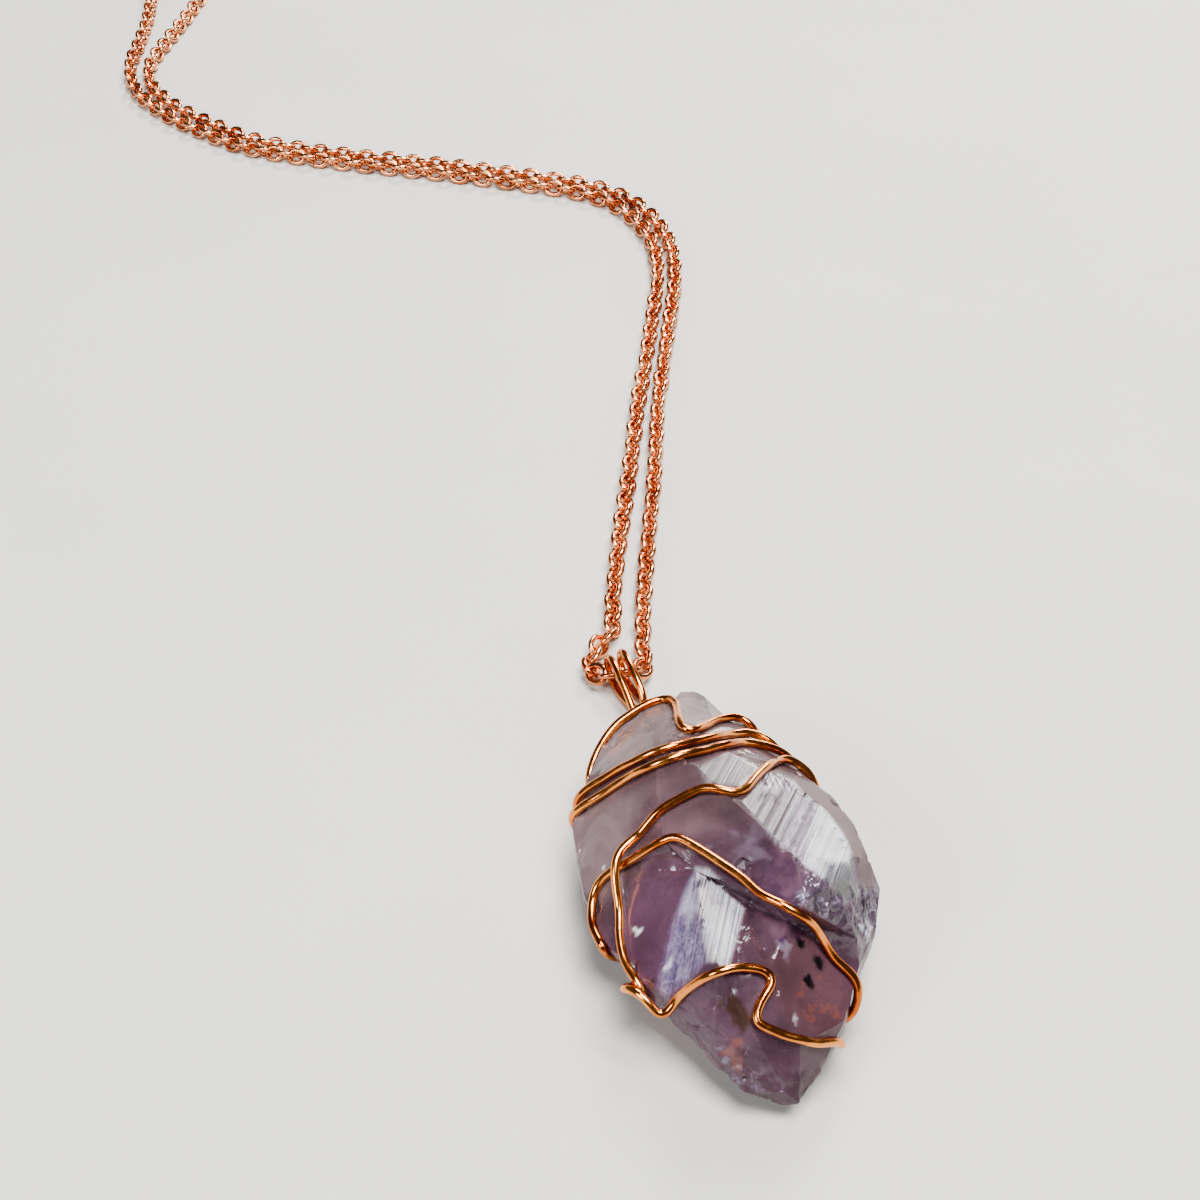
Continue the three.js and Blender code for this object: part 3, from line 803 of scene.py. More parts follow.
# Rust of the iron stains, also used for a painted reflection of the copper wire
RUST_AND_REFLECTION: Colour = (0.25, 0.080, 0.055)
BROWN: Colour = (0.034, 0.012, 0.005)
BLACK: Colour = (0.006, 0.004, 0.006)


# Patches of the front: outline, colour, clearness, frost and the width of the patch's edge
REGIONS = {
    "left": Region(
        ((-13.4, 7.0), (-10.4, 4.7), (-7.1, 1.7), (-9.3, -3.6), (-12.1, -6.4), (-14.4, -3.8), (-14.2, 1.9)),
        MILKY, 0.45, 0.26, 1.2,
    ),
    "pane": Region(
        (
            (-9.8, -6.4), (-7.6, -5.8), (-5.0, -8.4), (-8.0, -13.2), (-9.8, -16.0), (-11.5, -14.5),
            (-11.4, -9.8),
        ),
        PLUM, 0.50, 0.16, 0.6,
    ),
    "high_left": Region(
        ((1.2, -4.8), (5.3, 0.7), (7.4, -2.2), (4.6, -8.4), (2.5, -10.5)), ASH, 0.45, 0.34, 0.3,
    ),
    "high_middle": Region(((7.2, -2.2), (9.2, -3.5), (4.7, -12.8), (2.7, -10.6)), LILAC, 0.40, 0.18, 0.4),
    # Painted sheen: the pale silver colour stands in for light reflected off the right of the high face
    "high_right": Region(
        ((9.2, -3.5), (10.0, -4.7), (10.2, -9.5), (9.7, -12.0), (7.3, -14.6), (5.4, -15.1), (4.3, -13.0)),
        PAINTED_SHEEN, 0.25, 0.16, 0.4,
    ),
    "high_top": Region(
        ((-1.4, 0.9), (2.3, 3.7), (4.2, 1.0), (2.5, -0.7), (1.4, -1.8), (-1.6, -1.7)), ASH, 0.40, 0.38, 0.4,
    ),
    "comb": Region(((5.2, 0.6), (8.1, 0.3), (7.2, -2.0), (4.1, -2.1)), LILAC, 0.30, 0.14, 0.3),
    "rim": Region(
        (
            (8.5, 1.9), (11.0, 1.8), (13.0, -1.4), (13.0, -6.3), (12.6, -10.3), (12.0, -11.9), (10.0, -13.1),
            (9.9, -11.8), (10.3, -7.2), (9.7, -4.2), (8.0, -1.8),
        ),
        UMBER, 0.25, 0.45, 0.4,
    ),
    "smoke": Region(
        ((6.5, -12.8), (8.8, -12.5), (9.8, -13.0), (7.5, -14.7), (5.7, -15.1)), SMOKE, 0.5, 0.1, 0.5,
    ),
    "facet": Region(
        ((6.8, -14.5), (8.4, -13.9), (10.0, -13.5), (8.4, -15.2), (6.8, -15.6)), GLASS, 0.8, 0.06, 0.3,
    ),
    "fracture": Region(
        (
            (4.1, -14.7), (6.5, -15.5), (8.4, -15.5), (10.5, -13.1), (13.9, -10.8), (13.5, -15.2),
            (10.1, -17.5), (7.0, -17.7), (4.5, -17.6), (2.6, -16.8),
        ),
        HAZE, 0.65, 0.08, 0.9,
    ),
    # Painted sheen: the pale silver colour stands in for light reflected off the low face
    "low": Region(
        (
            (-4.7, -8.9), (-3.7, -9.8), (-1.5, -14.1), (-5.0, -20.4), (-6.4, -18.9), (-5.8, -13.8),
            (-5.0, -10.0),
        ),
        PAINTED_SHEEN, 0.30, 0.12, 0.25,
    ),
    "veined": Region(
        (
            (-4.8, -9.2), (-5.8, -13.8), (-6.4, -18.8), (-7.8, -18.9), (-10.1, -18.5), (-10.3, -17.1),
            (-8.0, -13.2), (-5.9, -10.4),
        ),
        VIOLET, 0.45, 0.14, 0.6,
    ),
    "gleam": Region(
        ((-4.8, -9.2), (-5.6, -13.0), (-6.6, -14.2), (-6.8, -11.8), (-5.7, -10.2)), GLEAM, 0.30, 0.15, 0.5,
    ),
    "right": Region(
        ((-1.2, -14.1), (0.1, -16.4), (0.5, -22.1), (-0.8, -21.9), (-2.0, -20.8), (-4.6, -20.3)),
        DUSK, 0.45, 0.20, 0.4,
    ),
    "under": Region(
        ((-0.8, -19.8), (2.9, -17.2), (6.6, -20.8), (7.0, -22.6), (5.3, -25.2), (0.6, -25.1), (-1.4, -23.7)),
        MAROON, 0.50, 0.16, 1.2,
    ),
    "bevel": Region(
        (
            (-11.2, -18.0), (-8.7, -20.6), (-5.0, -25.8), (-1.7, -28.4), (-0.5, -29.5), (-5.0, -28.5),
            (-12.0, -17.0),
        ),
        DUSK, 0.25, 0.30, 0.8,
    ),
}

# The share of the growth lines in each patch, with their relief and their stripes of painted highlight and
# shade, and the patches with steps of growth
STRIAE_HIGH = {"high_left": 0.35, "high_middle": 0.6, "high_right": 0.75, "high_top": 0.6, "comb": 1.0}
STEPPED = {
    "high_left": HIGH_GROWTH,
    "high_middle": HIGH_GROWTH,
    "high_right": HIGH_GROWTH,
    "high_top": HIGH_GROWTH,
    "low": LOW_GROWTH,
}

# Clouds, stains, inclusions, painted glints on breaks and one painted reflection of the wire, laid
# over the patches: place, size, colour, strength, clearness and raggedness
SPOTS = (
    Spot((-0.3, -9.6), 2.6, LILAC, 0.42, None, 0.6),
    Spot((1.6, -8.6), 1.8, LILAC, 0.30, None, 0.6),
    Spot((1.1, -12.8), 1.6, INK, 0.42, 0.5, 1.0),
    Spot((3.0, -13.4), 1.3, INK, 0.34, 0.5, 1.0),
    Spot((0.9, -15.3), 1.5, INK, 0.60, 0.5, 0.9),
    Spot((2.8, -16.6), 1.3, INK, 0.70, 0.5, 0.9),
    Spot((-4.7, -10.6), 0.8, INK, 0.85, 0.4, 0.8),
    Spot((9.8, -11.7), 0.8, INK, 0.55, 0.5, 0.8),
    Spot((11.4, -14.0), 1.2, INK, 0.65, 0.5, 0.9),
    Spot((2.7, -18.1), 0.85, BLACK, 1.0, 0.05, 0.4),
    Spot((4.1, -19.4), 0.85, BLACK, 1.0, 0.05, 0.4),
    Spot((2.5, -21.0), 0.70, BLACK, 1.0, 0.05, 0.5),
    Spot((0.9, -18.3), 0.55, INK, 0.9, 0.2, 0.8),
    Spot((3.0, -22.5), 1.1, RUST_AND_REFLECTION, 0.60, 0.3, 1.6),
    Spot((1.6, -23.6), 0.9, RUST_AND_REFLECTION, 0.50, 0.3, 1.6),
    Spot((4.2, -23.4), 0.8, RUST_AND_REFLECTION, 0.55, 0.3, 1.6),
    # Painted reflection: orange light of the copper wire, in the rust colour; the three spots above are real
    # rust
    Spot((-5.5, -24.6), 0.9, RUST_AND_REFLECTION, 0.60, 0.3, 1.2),
    Spot((-4.3, -24.0), 0.85, BROWN, 0.95, 0.05, 0.35),
    Spot((-4.7, -23.3), 0.95, BROWN, 0.95, 0.05, 0.35),
    Spot((-5.2, -22.7), 0.75, BROWN, 0.95, 0.05, 0.35),
    Spot((-6.1, -22.1), 0.40, BROWN, 0.90, 0.05, 0.35),
    # Painted glints: white sparkles where light catches small breaks
    Spot((-10.8, -11.0), 0.36, PAINTED_GLINT, 0.90, 0.2, 0.9),
    Spot((-9.1, -15.9), 0.40, PAINTED_GLINT, 0.80, 0.2, 1.1),
    Spot((0.9, -19.0), 0.75, LILAC, 0.80, 0.4, 0.9),
    Spot((-10.6, -16.3), 0.45, BLACK, 0.85, 0.2, 0.8),
    # Painted glint: a white sparkle on the break
    Spot((9.9, -16.0), 0.9, PAINTED_GLINT, 0.80, 0.2, 1.2),
    # Painted glints in the pale silver sheen colour
    Spot((0.3, -24.4), 0.34, PAINTED_SHEEN, 0.50, 0.2, 1.4),
    Spot((-12.0, -2.8), 0.35, PAINTED_SHEEN, 0.75, 0.2, 0.7),
)


@dataclass
class Crystal:
    """The amethyst, refined from its solid and given relief, colour and clearness."""

    finest_edge: float = 0.42
    crisp_angle: float = 9.0
    level_slack: float = 1.2
    wave_height: float = 0.018
    step_height: float = 0.05
    break_height: float = 0.42
    break_level: float = 0.65
    crumble_height: float = 0.10
    tip_height: float = 0.16
    tip_level: float = 0.6
    chip_depth: float = 0.20
    wave_fade: float = 0.8
    chip_reach: float = 0.7
    pale_band: tuple[float, float] = (5.0, 11.0)
    deep_band: tuple[float, float] = (-4.0, -12.0)
    dusk_band: tuple[float, float] = (-22.0, -27.0)
    tip_band: tuple[float, float] = (-25.5, -28.5)
    body_clear: float = 0.50
    clear_play: float = 0.16
    body_frost: float = 0.26
    frost_play: float = 0.07
    tint_play: float = 0.22
    patch_play: float = 0.12
    patch_share: float = 0.9
    points: Array = field(init=False)
    triangles: Array = field(init=False)
    facets: Array = field(init=False)

    def load(self) -> None:
        """Takes the solid's triangles and numbers its flat faces."""
        self.points, self.triangles = welded_solid("amethyst")
        self.facets = self.facet_numbers()

    def normals(self) -> Array:
        """The outward normal of each triangle."""
        a, b, c = (self.points[self.triangles[:, k]] for k in range(3))
        return unit(np.cross(b - a, c - a))

    def facet_numbers(self) -> Array:
        """Numbers the crystal's flat faces: triangles that lie in one plane get one number.

        Returns:
            The number of each triangle.
        """
        normal = self.normals()
        offset = np.einsum("ij,ij->i", normal, self.points[self.triangles[:, 0]])
        numbers = np.full(len(normal), -1)
        for index in range(len(normal)):
            if numbers[index] < 0:
                turned = normal @ normal[index] > math.cos(math.radians(self.crisp_angle))
                level = np.abs(offset - offset[index]) < self.level_slack
                numbers[turned & level & (numbers < 0)] = index
        return numbers

    def refine(self) -> None:
        """Splits every edge longer than the finest one at its middle, until none is left.

        A triangle with one, two or three long edges becomes two, three or four triangles, so
        that neighbours always meet along whole edges.
        """
        while True:
            tri = self.triangles
            edges = np.sort(np.stack([tri, np.roll(tri, -1, axis=1)], -1), axis=-1)
            unique, place = np.unique(edges.reshape(-1, 2), axis=0, return_inverse=True)
            length = np.linalg.norm(self.points[unique[:, 0]] - self.points[unique[:, 1]], axis=1)
            long = length > self.finest_edge
            if not long.any():
                return
            middle = np.full(len(unique), -1)
            middle[long] = len(self.points) + np.arange(long.sum())
            self.points = np.vstack([self.points, self.points[unique[long]].mean(axis=1)])
            mids = middle[place.ravel()].reshape(-1, 3)
            many = (mids >= 0).sum(axis=1)
            parts, owners = [tri[many == 0]], [self.facets[many == 0]]
            for count in (1, 2, 3):
                for turn in range(3):
                    rolled = np.roll(mids, -turn, axis=1)
                    if count == 1:
                        chosen = (many == 1) & (rolled[:, 0] >= 0)
                    elif count == 2:
                        chosen = (many == 2) & (rolled[:, 2] < 0)
                    else:
                        chosen = (many == 3) & (turn == 0)
                    a, b, c = np.roll(tri, -turn, axis=1)[chosen].T
                    ab, bc, ca = rolled[chosen].T
                    made = {
                        1: [(a, ab, c), (ab, b, c)],
                        2: [(a, ab, c), (ab, bc, c), (ab, b, bc)],
                        3: [(a, ab, ca), (ab, b, bc), (ca, bc, c), (ab, bc, ca)],
                    }[count]
                    parts += [np.column_stack(three) for three in made]
                    owners += [self.facets[chosen]] * len(made)
            self.triangles = np.vstack(parts)
            self.facets = np.concatenate(owners)

    def crisp_edges(self) -> Array:
        """Finds the edges where two of the crystal's faces meet at a clear angle.

        Returns:
            The two vertex numbers of each edge.
        """
        tri = self.triangles
        edges = np.sort(np.stack([tri, np.roll(tri, -1, axis=1)], -1), axis=-1).reshape(-1, 2)
        owner = np.repeat(np.arange(len(tri)), 3)
        order = np.lexsort((edges[:, 1], edges[:, 0]))
        pair = order.reshape(-1, 2)
        normal = self.normals()
        bent = np.einsum("ij,ij->i", normal[owner[pair[:, 0]]], normal[owner[pair[:, 1]]])
        parted = self.facets[owner[pair[:, 0]]] != self.facets[owner[pair[:, 1]]]
        sharp = parted & (bent < math.cos(math.radians(self.crisp_angle)))
        return edges[pair[sharp, 0]]

    def vertex_normals(self) -> Array:
        """Finds the mean normal of the triangles round each vertex.

        Returns:
            The normals, one to a row.
        """
        normal = self.normals()
        total = np.zeros_like(self.points)
        for column in range(3):
            np.add.at(total, self.triangles[:, column], normal)
        return unit(total)

    def edge_gap(self, edges: Array, batch: int = 1024) -> Array:
        """Measures how far each vertex is from the nearest vertex of a crisp edge.

        The square of the distance from a to b is a.a + b.b - 2 a.b.

        Args:
            edges: the crisp edges.
            batch: how many vertices are measured at once.

        Returns:
            The distances in millimetres.
        """
        spots = self.points[np.unique(edges)]
        gap = np.empty(len(self.points))
        for start in range(0, len(gap), batch):
            part = self.points[start : start + batch]
            square = (part**2).sum(axis=1)[:, None] + (spots**2).sum(axis=1) - 2.0 * part @ spots.T
            gap[start : start + batch] = np.sqrt(np.maximum(square.min(axis=1), 0.0))
        return gap

    def masks(self) -> dict[str, Array]:
        """Works out how much of each patch every vertex of the front has.

        Returns:
            For each patch, the share of each vertex, from 0 to 1.
        """
        front = smoothstep(0.15, 0.45, self.vertex_normals()[:, 2])
        return {name: region.cover(self.points) * front for name, region in REGIONS.items()}

    def shape(self, masks: dict[str, Array], gap: Array) -> None:
        """Moves the vertices for relief, along their normals.

        All faces wave a little. Growth steps are noise of one dimension across the growth lines.
        The breaks are sharp-ridged noise, 1 - |noise|. Edges lose chips where a noise is high.

        Args:
            masks: the share of each patch at each vertex.
            gap: the distance from each vertex to the nearest crisp edge.
        """
        normal = self.vertex_normals()
        inner = smoothstep(0.0, self.wave_fade, gap)
        height = self.wave_height * WAVES.at(self.points) * inner
        for name, growth in STEPPED.items():
            steps = growth.at(self.points)
            height += self.step_height * steps * masks[name] * (0.25 + 0.75 * inner)
        ridges = BREAKS.ridges(self.points)
        height += self.break_height * (ridges - self.break_level) * masks["fracture"]
        height += self.crumble_height * CRUMBLES.at(self.points) * masks["bevel"]
        tip = smoothstep(*self.tip_band, self.points[:, 1])
        height += self.tip_height * (TIP_BREAKS.ridges(self.points) - self.tip_level) * tip
        near_edge = 1.0 - smoothstep(0.0, self.chip_reach, gap)
        height -= self.chip_depth * (smoothstep(0.15, 0.75, CHIPS.at(self.points)) * near_edge)
        self.points = self.points + normal * height[:, None]

    def paint(self, masks: dict[str, Array]) -> dict[str, Array]:
        """Works out the look of each vertex from the patches and spots.

        Args:
            masks: the share of each patch at each vertex.

        Returns:
            The material's attributes by name.
        """
        cloudy = CLOUDS.at(self.points)[:, None]
        lower = smoothstep(*self.deep_band, self.points[:, 1])[:, None]
        upper = smoothstep(*self.pale_band, self.points[:, 1])[:, None]
        tint = np.array(MAUVE) * (1 - lower) + np.array(PLUM) * lower
        tip = smoothstep(*self.dusk_band, self.points[:, 1])[:, None]
        tint = tint * (1 - tip) + np.array(DUSK) * tip
        tint = tint * (1 - upper) + np.array(PALE_MAUVE) * upper
        tint = tint * (1.0 + self.tint_play * cloudy)
        clear = self.body_clear + self.clear_play * CLEARNESS.at(self.points)
        frost = self.body_frost + self.frost_play * np.abs(FROST.at(self.points))
        for name, region in REGIONS.items():
            share = masks[name]
            patch = np.array(region.tint) * (1.0 + self.patch_play * cloudy)
            tint += (patch - tint) * (self.patch_share * share)[:, None]
            clear += (region.clear - clear) * share
            frost += (region.frost - frost) * share
        front = smoothstep(0.0, 0.3, self.vertex_normals()[:, 2])
        warp = np.column_stack([pattern.at(self.points) for pattern in WARPS])
        for spot in SPOTS:
            share = spot.cover(self.points, warp) * front
            tint += (np.array(spot.tint) - tint) * share[:, None]
            if spot.clear is not None:
                clear += (spot.clear - clear) * share
        return {
            "tint": np.clip(tint, 0.0, 1.0),
            "clear": np.clip(clear, 0.0, 1.0),
            "frost": np.clip(frost, 0.02, 1.0),
            "striae_high": np.clip(sum(part * masks[name] for name, part in STRIAE_HIGH.items()), 0.0, 1.0),
            "striae_low": np.maximum(masks["low"], 0.25 * masks["veined"]),
            "veined": masks["veined"],
            "broken": np.maximum(masks["fracture"], 0.35 * masks["bevel"]),
        }

    def build(self) -> bpy.types.Object:
        """Makes the piece.

        Returns:
            The crystal.
        """
        self.load()
        self.refine()
        edges = self.crisp_edges()
        masks = self.masks()
        gap = self.edge_gap(edges)
        paint = self.paint(masks)
        self.shape(masks, gap)
        piece = make_piece("amethyst_crystal", placed(self.points), [self.triangles])
        self.mark_edges(piece.data, edges)
        for name, values in paint.items():
            if values.ndim == 2:
                layer = piece.data.attributes.new(name, "FLOAT_COLOR", "POINT")
                layer.data.foreach_set("color", np.column_stack([values, np.ones(len(values))]).ravel())
            else:
                layer = piece.data.attributes.new(name, "FLOAT", "POINT")
                layer.data.foreach_set("value", values.astype(np.float32))
        material = QUARTZ.material(HIGH_GROWTH.across(), LOW_GROWTH.across())
        finish_piece(piece, material, "amethyst", "amethyst")
        return piece

    @staticmethod
    def mark_edges(mesh: bpy.types.Mesh, crisp: Array) -> None:
        """Marks the crisp edges sharp, so that the shading breaks there.

        Args:
            mesh: the crystal's mesh.
            crisp: the two vertex numbers of each crisp edge.
        """
        pairs = np.empty(len(mesh.edges) * 2, np.int32)
        mesh.edges.foreach_get("vertices", pairs)
        pairs = np.sort(pairs.reshape(-1, 2), axis=1)
        size = len(mesh.vertices)
        sharp = np.isin(
            pairs[:, 0].astype(np.int64) * size + pairs[:, 1],
            crisp[:, 0].astype(np.int64) * size + crisp[:, 1],
        )
        layer = mesh.attributes.new("sharp_edge", "BOOLEAN", "EDGE")
        layer.data.foreach_set("value", sharp)


@dataclass
class WrapWire:
    """The copper wire: the line of its solid, drawn on to the crystal, as a round bar."""

    sides: int = 16
    step: float = 0.3
    radius: float = 0.425
    pull_reach: float = 0.7
    contact_gap: float = 0.02
    spreads: tuple[float, ...] = (7.0, 6.0, 5.0)
    bend_ease: float = 1.5
    swell: float = 0.015
    end_share: float = 0.8

    @staticmethod
    def solid_line(node: str, sides: int) -> Array:
        """Reads the middle line of a solid tube: the means of its sections, from end to end.

        The first section is a cut end: a vertex in few triangles, with only its own section near
        it. Each of the others is made of the vertices that touch the section before it and haven't
        been met yet.

        Args:
            node: the solid's name.
            sides: how many sides its section has.

        Returns:
            The points of the line in millimetres.
        """
        spots, triangles = welded_solid(node)
        _, first, shares = np.unique(triangles, return_index=True, return_counts=True)
        section = np.zeros(len(spots), bool)
        for start in np.lexsort((first, shares)):
            near = np.linalg.norm(spots - spots[start], axis=1) < SECTION_REACH
            if near.sum() == sides:
                section = near
                break
        met = np.zeros(len(spots), bool)
        line = []
        while section.any():
            line.append(spots[section].mean(axis=0))
            met |= section
            touching = np.zeros(len(spots), bool)
            touching[triangles[section[triangles].any(axis=1)]] = True
            section = touching & ~met
        return np.array(line)

    def drawn_on(self, line: Array, crystal: bpy.types.Object) -> Array:
        """Draws the line on to the crystal where it lies close to it, in long, easy moves.

        Each point asks to move along the way to the nearest place of the crystal until the bar
        would just touch. The moves are then eased along the line by a bell curve, so the wire
        keeps its own bends.

        Args:
            line: the wire's middle line.
            crystal: the crystal that it lies on.

        Returns:
            The moved line.
        """
        places, triangles = mesh_arrays(crystal.data)
        tree = BVHTree.FromPolygons(places.tolist(), triangles.tolist())
        rest = self.radius + self.contact_gap
        for spread in self.spreads:
            shift = np.zeros_like(line)
            for index, point in enumerate(placed(line)):
                spot, normal, _, distance = tree.find_nearest(Vector(point))
                away = unit(point - np.array(spot))
                gap = distance / MM
                if (Vector(point) - spot).dot(normal) < 0:
                    shift[index] = -away * (gap + rest)
                elif gap - rest < self.pull_reach:
                    shift[index] = -away * (gap - rest)
            line = line + eased_shift(shift, spread)
            line[:, 2] = np.maximum(line[:, 2], rest)
        return line

    def build(self, crystal: bpy.types.Object) -> bpy.types.Object:
        """Makes the piece. Its radius swells and thins a little, and its cut ends are rounded.

        Args:
            crystal: the crystal that the wire lies on.

        Returns:
            The wire.
        """
        line = eased_line(self.solid_line("copper_wire", WIRE_SIDES), self.step)
        line = eased_shift(self.drawn_on(line, crystal), self.bend_ease)
        radii = self.radius * (1.0 + self.swell * WIRE_SWELL.at(line))
        radii[[0, -1]] *= self.end_share
        points, faces = tube(line, radii, self.sides)
        piece = make_piece("wrap_wire", placed(points), faces)
        finish_piece(piece, WIRE_COPPER.material(), "copper_wire", "copper_wire")
        return piece


@dataclass
class CableChain:
    """The chain: oval links, each a quarter turn from the next, from one fastening to the other."""

    pitch: float = 1.93
    link_wire: float = 0.74
    link_width: float = 2.75
    link_squareness: float = 0.85
    turn_spread: float = 0.10
    turn_limit: float = 0.16
    first_seed: int = 7
    cord_diameter: float = 0.0021
    line_step: float = 0.1
    path_stride: int = 12
    height: float = 1.19
    strands: tuple[tuple[float, float, float], ...] = (
        (0.9, 37.4, 3.6), (2.6, 43.3, 3.6), (6.2, 54.3, 3.5), (10.1, 65.6, 3.2), (14.9, 80.4, 2.7),
        (18.5, 90.2, 2.5), (22.2, 100.5, 2.5), (25.8, 111.0, 2.5), (27.4, 121.0, 2.6), (25.6, 131.0, 2.6),
        (20.6, 137.8, 2.6), (12.0, 143.2, 2.6), (-1.0, 150.2, 2.6), (-17.8, 158.6, 2.6), (-28.0, 165.0, 2.6),
        (-34.2, 171.8, 2.6), (-40.2, 180.4, 2.7), (-43.8, 189.5, 2.9), (-43.9, 198.0, 3.4),
        (-41.2, 207.0, 4.6), (-38.2, 216.0, 6.6), (-35.8, 225.0, 9.0), (-34.2, 233.0, 11.4),
    )
    bail_pass: tuple[tuple[float, float, float], ...] = (
        (-2.6, 35.9, 1.19), (-4.0, 33.9, 1.2), (-4.8, 31.8, 1.4), (-4.4, 30.1, 1.9), (-3.3, 29.3, 2.15),
        (-2.0, 29.2, 2.2), (-0.7, 29.3, 2.15), (0.6, 29.8, 1.9), (1.3, 31.0, 1.5), (1.6, 32.8, 1.2),
        (2.1, 35.0, 1.19),
    )
    left_end: tuple[tuple[float, float, float], ...] = (
        (-40.4, 239.6, 1.19), (-39.9, 243.4, 1.19), (-38.4, 245.7, 1.24), (-36.8, 246.2, 1.5),
        (-35.5, 246.2, 1.75),
    )
    right_end: tuple[tuple[float, float, float], ...] = (
        (-26.9, 239.2, 1.19), (-25.8, 242.8, 1.19), (-26.8, 245.5, 1.19), (-28.4, 246.2, 1.24),
        (-29.8, 246.2, 1.4),
    )

    def strand(self, side: int) -> Array:
        """Lays one strand of the pair, half their distance to the side of their middle line.

        Args:
            side: -1 for the left strand, 1 for the right one.

        Returns:
            The points of the strand.
        """
        spots = np.array(self.strands)
        before = np.vstack([spots[:1], spots[:-1]])
        after = np.vstack([spots[1:], spots[-1:]])
        way = unit((after - before)[:, :2])
        shift = side * spots[:, 2:] / 2 * np.column_stack([way[:, 1], -way[:, 0]])
        return np.column_stack([spots[:, :2] + shift, np.full(len(spots), self.height)])

    def halves(self) -> tuple[Array, Array]:
        """Lays the lines of the two halves, each from the middle of the bail to its fastening.

        Returns:
            The left half and the right half.
        """
        bail = np.array(self.bail_pass)
        middle = len(bail) // 2
        left = np.vstack([bail[middle::-1], self.strand(-1), np.array(self.left_end)])
        right = np.vstack([bail[middle:], self.strand(1), np.array(self.right_end)])
        return eased_line(left, self.line_step), eased_line(right, self.line_step)

    def link(self, sections: int = 14, sides: int = 6) -> tuple[Array, Array]:
        """Makes one oval link, lying flat, long along X.

        The middle line is x = a sign(cos t) |cos t|^squareness, y = b sin t, and the wire's round
        section stands square to it.

        Args:
            sections: how many sections the link has.
            sides: how many sides a section has.

        Returns:
            The points and the faces.
        """
        outer = self.pitch + 2 * self.link_wire
        half_width = (self.link_width - self.link_wire) / 2
        half_length = (outer - self.link_wire) / 2
        around = np.arange(sections) * 2 * math.pi / sections
        line = np.column_stack([
            half_length * np.sign(np.cos(around)) * np.abs(np.cos(around)) ** self.link_squareness,
            half_width * np.sin(around),
            np.zeros(sections),
        ])
        outward = unit(np.column_stack([
            np.cos(around) / half_length, np.sin(around) / half_width, np.zeros(sections)
        ]))
        angle = np.arange(sides) * 2 * math.pi / sides
        ring = (
            line[:, None]
            + self.link_wire / 2 * np.cos(angle)[None, :, None] * outward[:, None]
            + self.link_wire / 2 * np.sin(angle)[None, :, None] * UP
        )
        rows = np.arange(sections)[:, None]
        here = np.arange(sides)[None]
        onward = (rows + 1) % sections
        after = (here + 1) % sides
        faces = np.stack(
            [rows * sides + here, onward * sides + here, onward * sides + after, rows * sides + after], -1
        ).reshape(-1, 4)
        return ring.reshape(-1, 3), faces

    def links_along(self, line: Array, first: int) -> tuple[Array, list[Array]]:
        """Sets links along a line, a pitch apart, turned an eighth to either side by turns.

        The pitch is stretched a little, so that the last link's end wire lies at the line's end,
        where it passes through the fastening.

        Args:
            line: the middle line, from the bail to the fastening.
            first: 0 or 1, for the side that the first link is turned to.

        Returns:
            The points and the array of faces.
        """
        offset = self.pitch / 2
        gaps = np.linalg.norm(np.diff(line, axis=0), axis=1)
        length = np.concatenate([[0.0], np.cumsum(gaps)])
        reach = length[-1] - (self.pitch + self.link_wire) / 2 - offset
        spots = np.linspace(offset, offset + reach, int(round(reach / self.pitch)) + 1)
        ahead = np.minimum(spots + self.pitch / 2, length[-1])
        behind = np.maximum(spots - self.pitch / 2, 0.0)

        def at(places: Array) -> Array:
            """The points at some lengths along the line."""
            return np.column_stack([np.interp(places, length, line[:, k]) for k in range(3)])

        middle = at(spots)
        forward = unit(at(ahead) - at(behind))
        level = unit(np.cross(UP, forward))
        over = np.cross(forward, level)
        draw = np.random.default_rng(self.first_seed + first)
        turn = np.where((np.arange(len(spots)) + first) % 2 == 0, 1.0, -1.0) * math.pi / 4
        loose = draw.normal(0.0, self.turn_spread, len(spots))
        turn += np.clip(loose, -self.turn_limit, self.turn_limit)
        side = level * np.cos(turn)[:, None] + over * np.sin(turn)[:, None]
        lift = np.cross(forward, side)
        shape, faces = self.link()
        points = (
            middle[:, None]
            + shape[None, :, :1] * forward[:, None]
            + shape[None, :, 1:2] * side[:, None]
            + shape[None, :, 2:] * lift[:, None]
        )
        numbers = np.arange(len(spots))[:, None, None] * len(shape) + faces[None]
        return points.reshape(-1, 3), [numbers.reshape(-1, 4)]

    def build(self, clasp: bpy.types.Object, end_ring: bpy.types.Object) -> None:
        """Args:
            clasp: the fastening of the left half; not used.
            end_ring: the fastening of the right half; not used.
        """
        material = LINK_COPPER.material()
        left, right = self.halves()
        total = sum(np.linalg.norm(np.diff(line, axis=0), axis=1).sum() for line in (left, right))
        LOG.info("chain: %.1f mm along its middle line", total)
        halves = (
            ("chain_left_links", left, 0, clasp, "connector", ("chain_left", "chain_bail")),
            ("chain_right_links", right, 1, end_ring, "fitting", ("chain_right",)),
        )
        for name, line, first, fitting, far_end, nodes in halves:
            points, faces = self.links_along(line, first)
            piece = make_piece(name, placed(points), faces)
            finish_piece(piece, material, "rose_copper", *nodes)
            path = placed(line[:: self.path_stride])


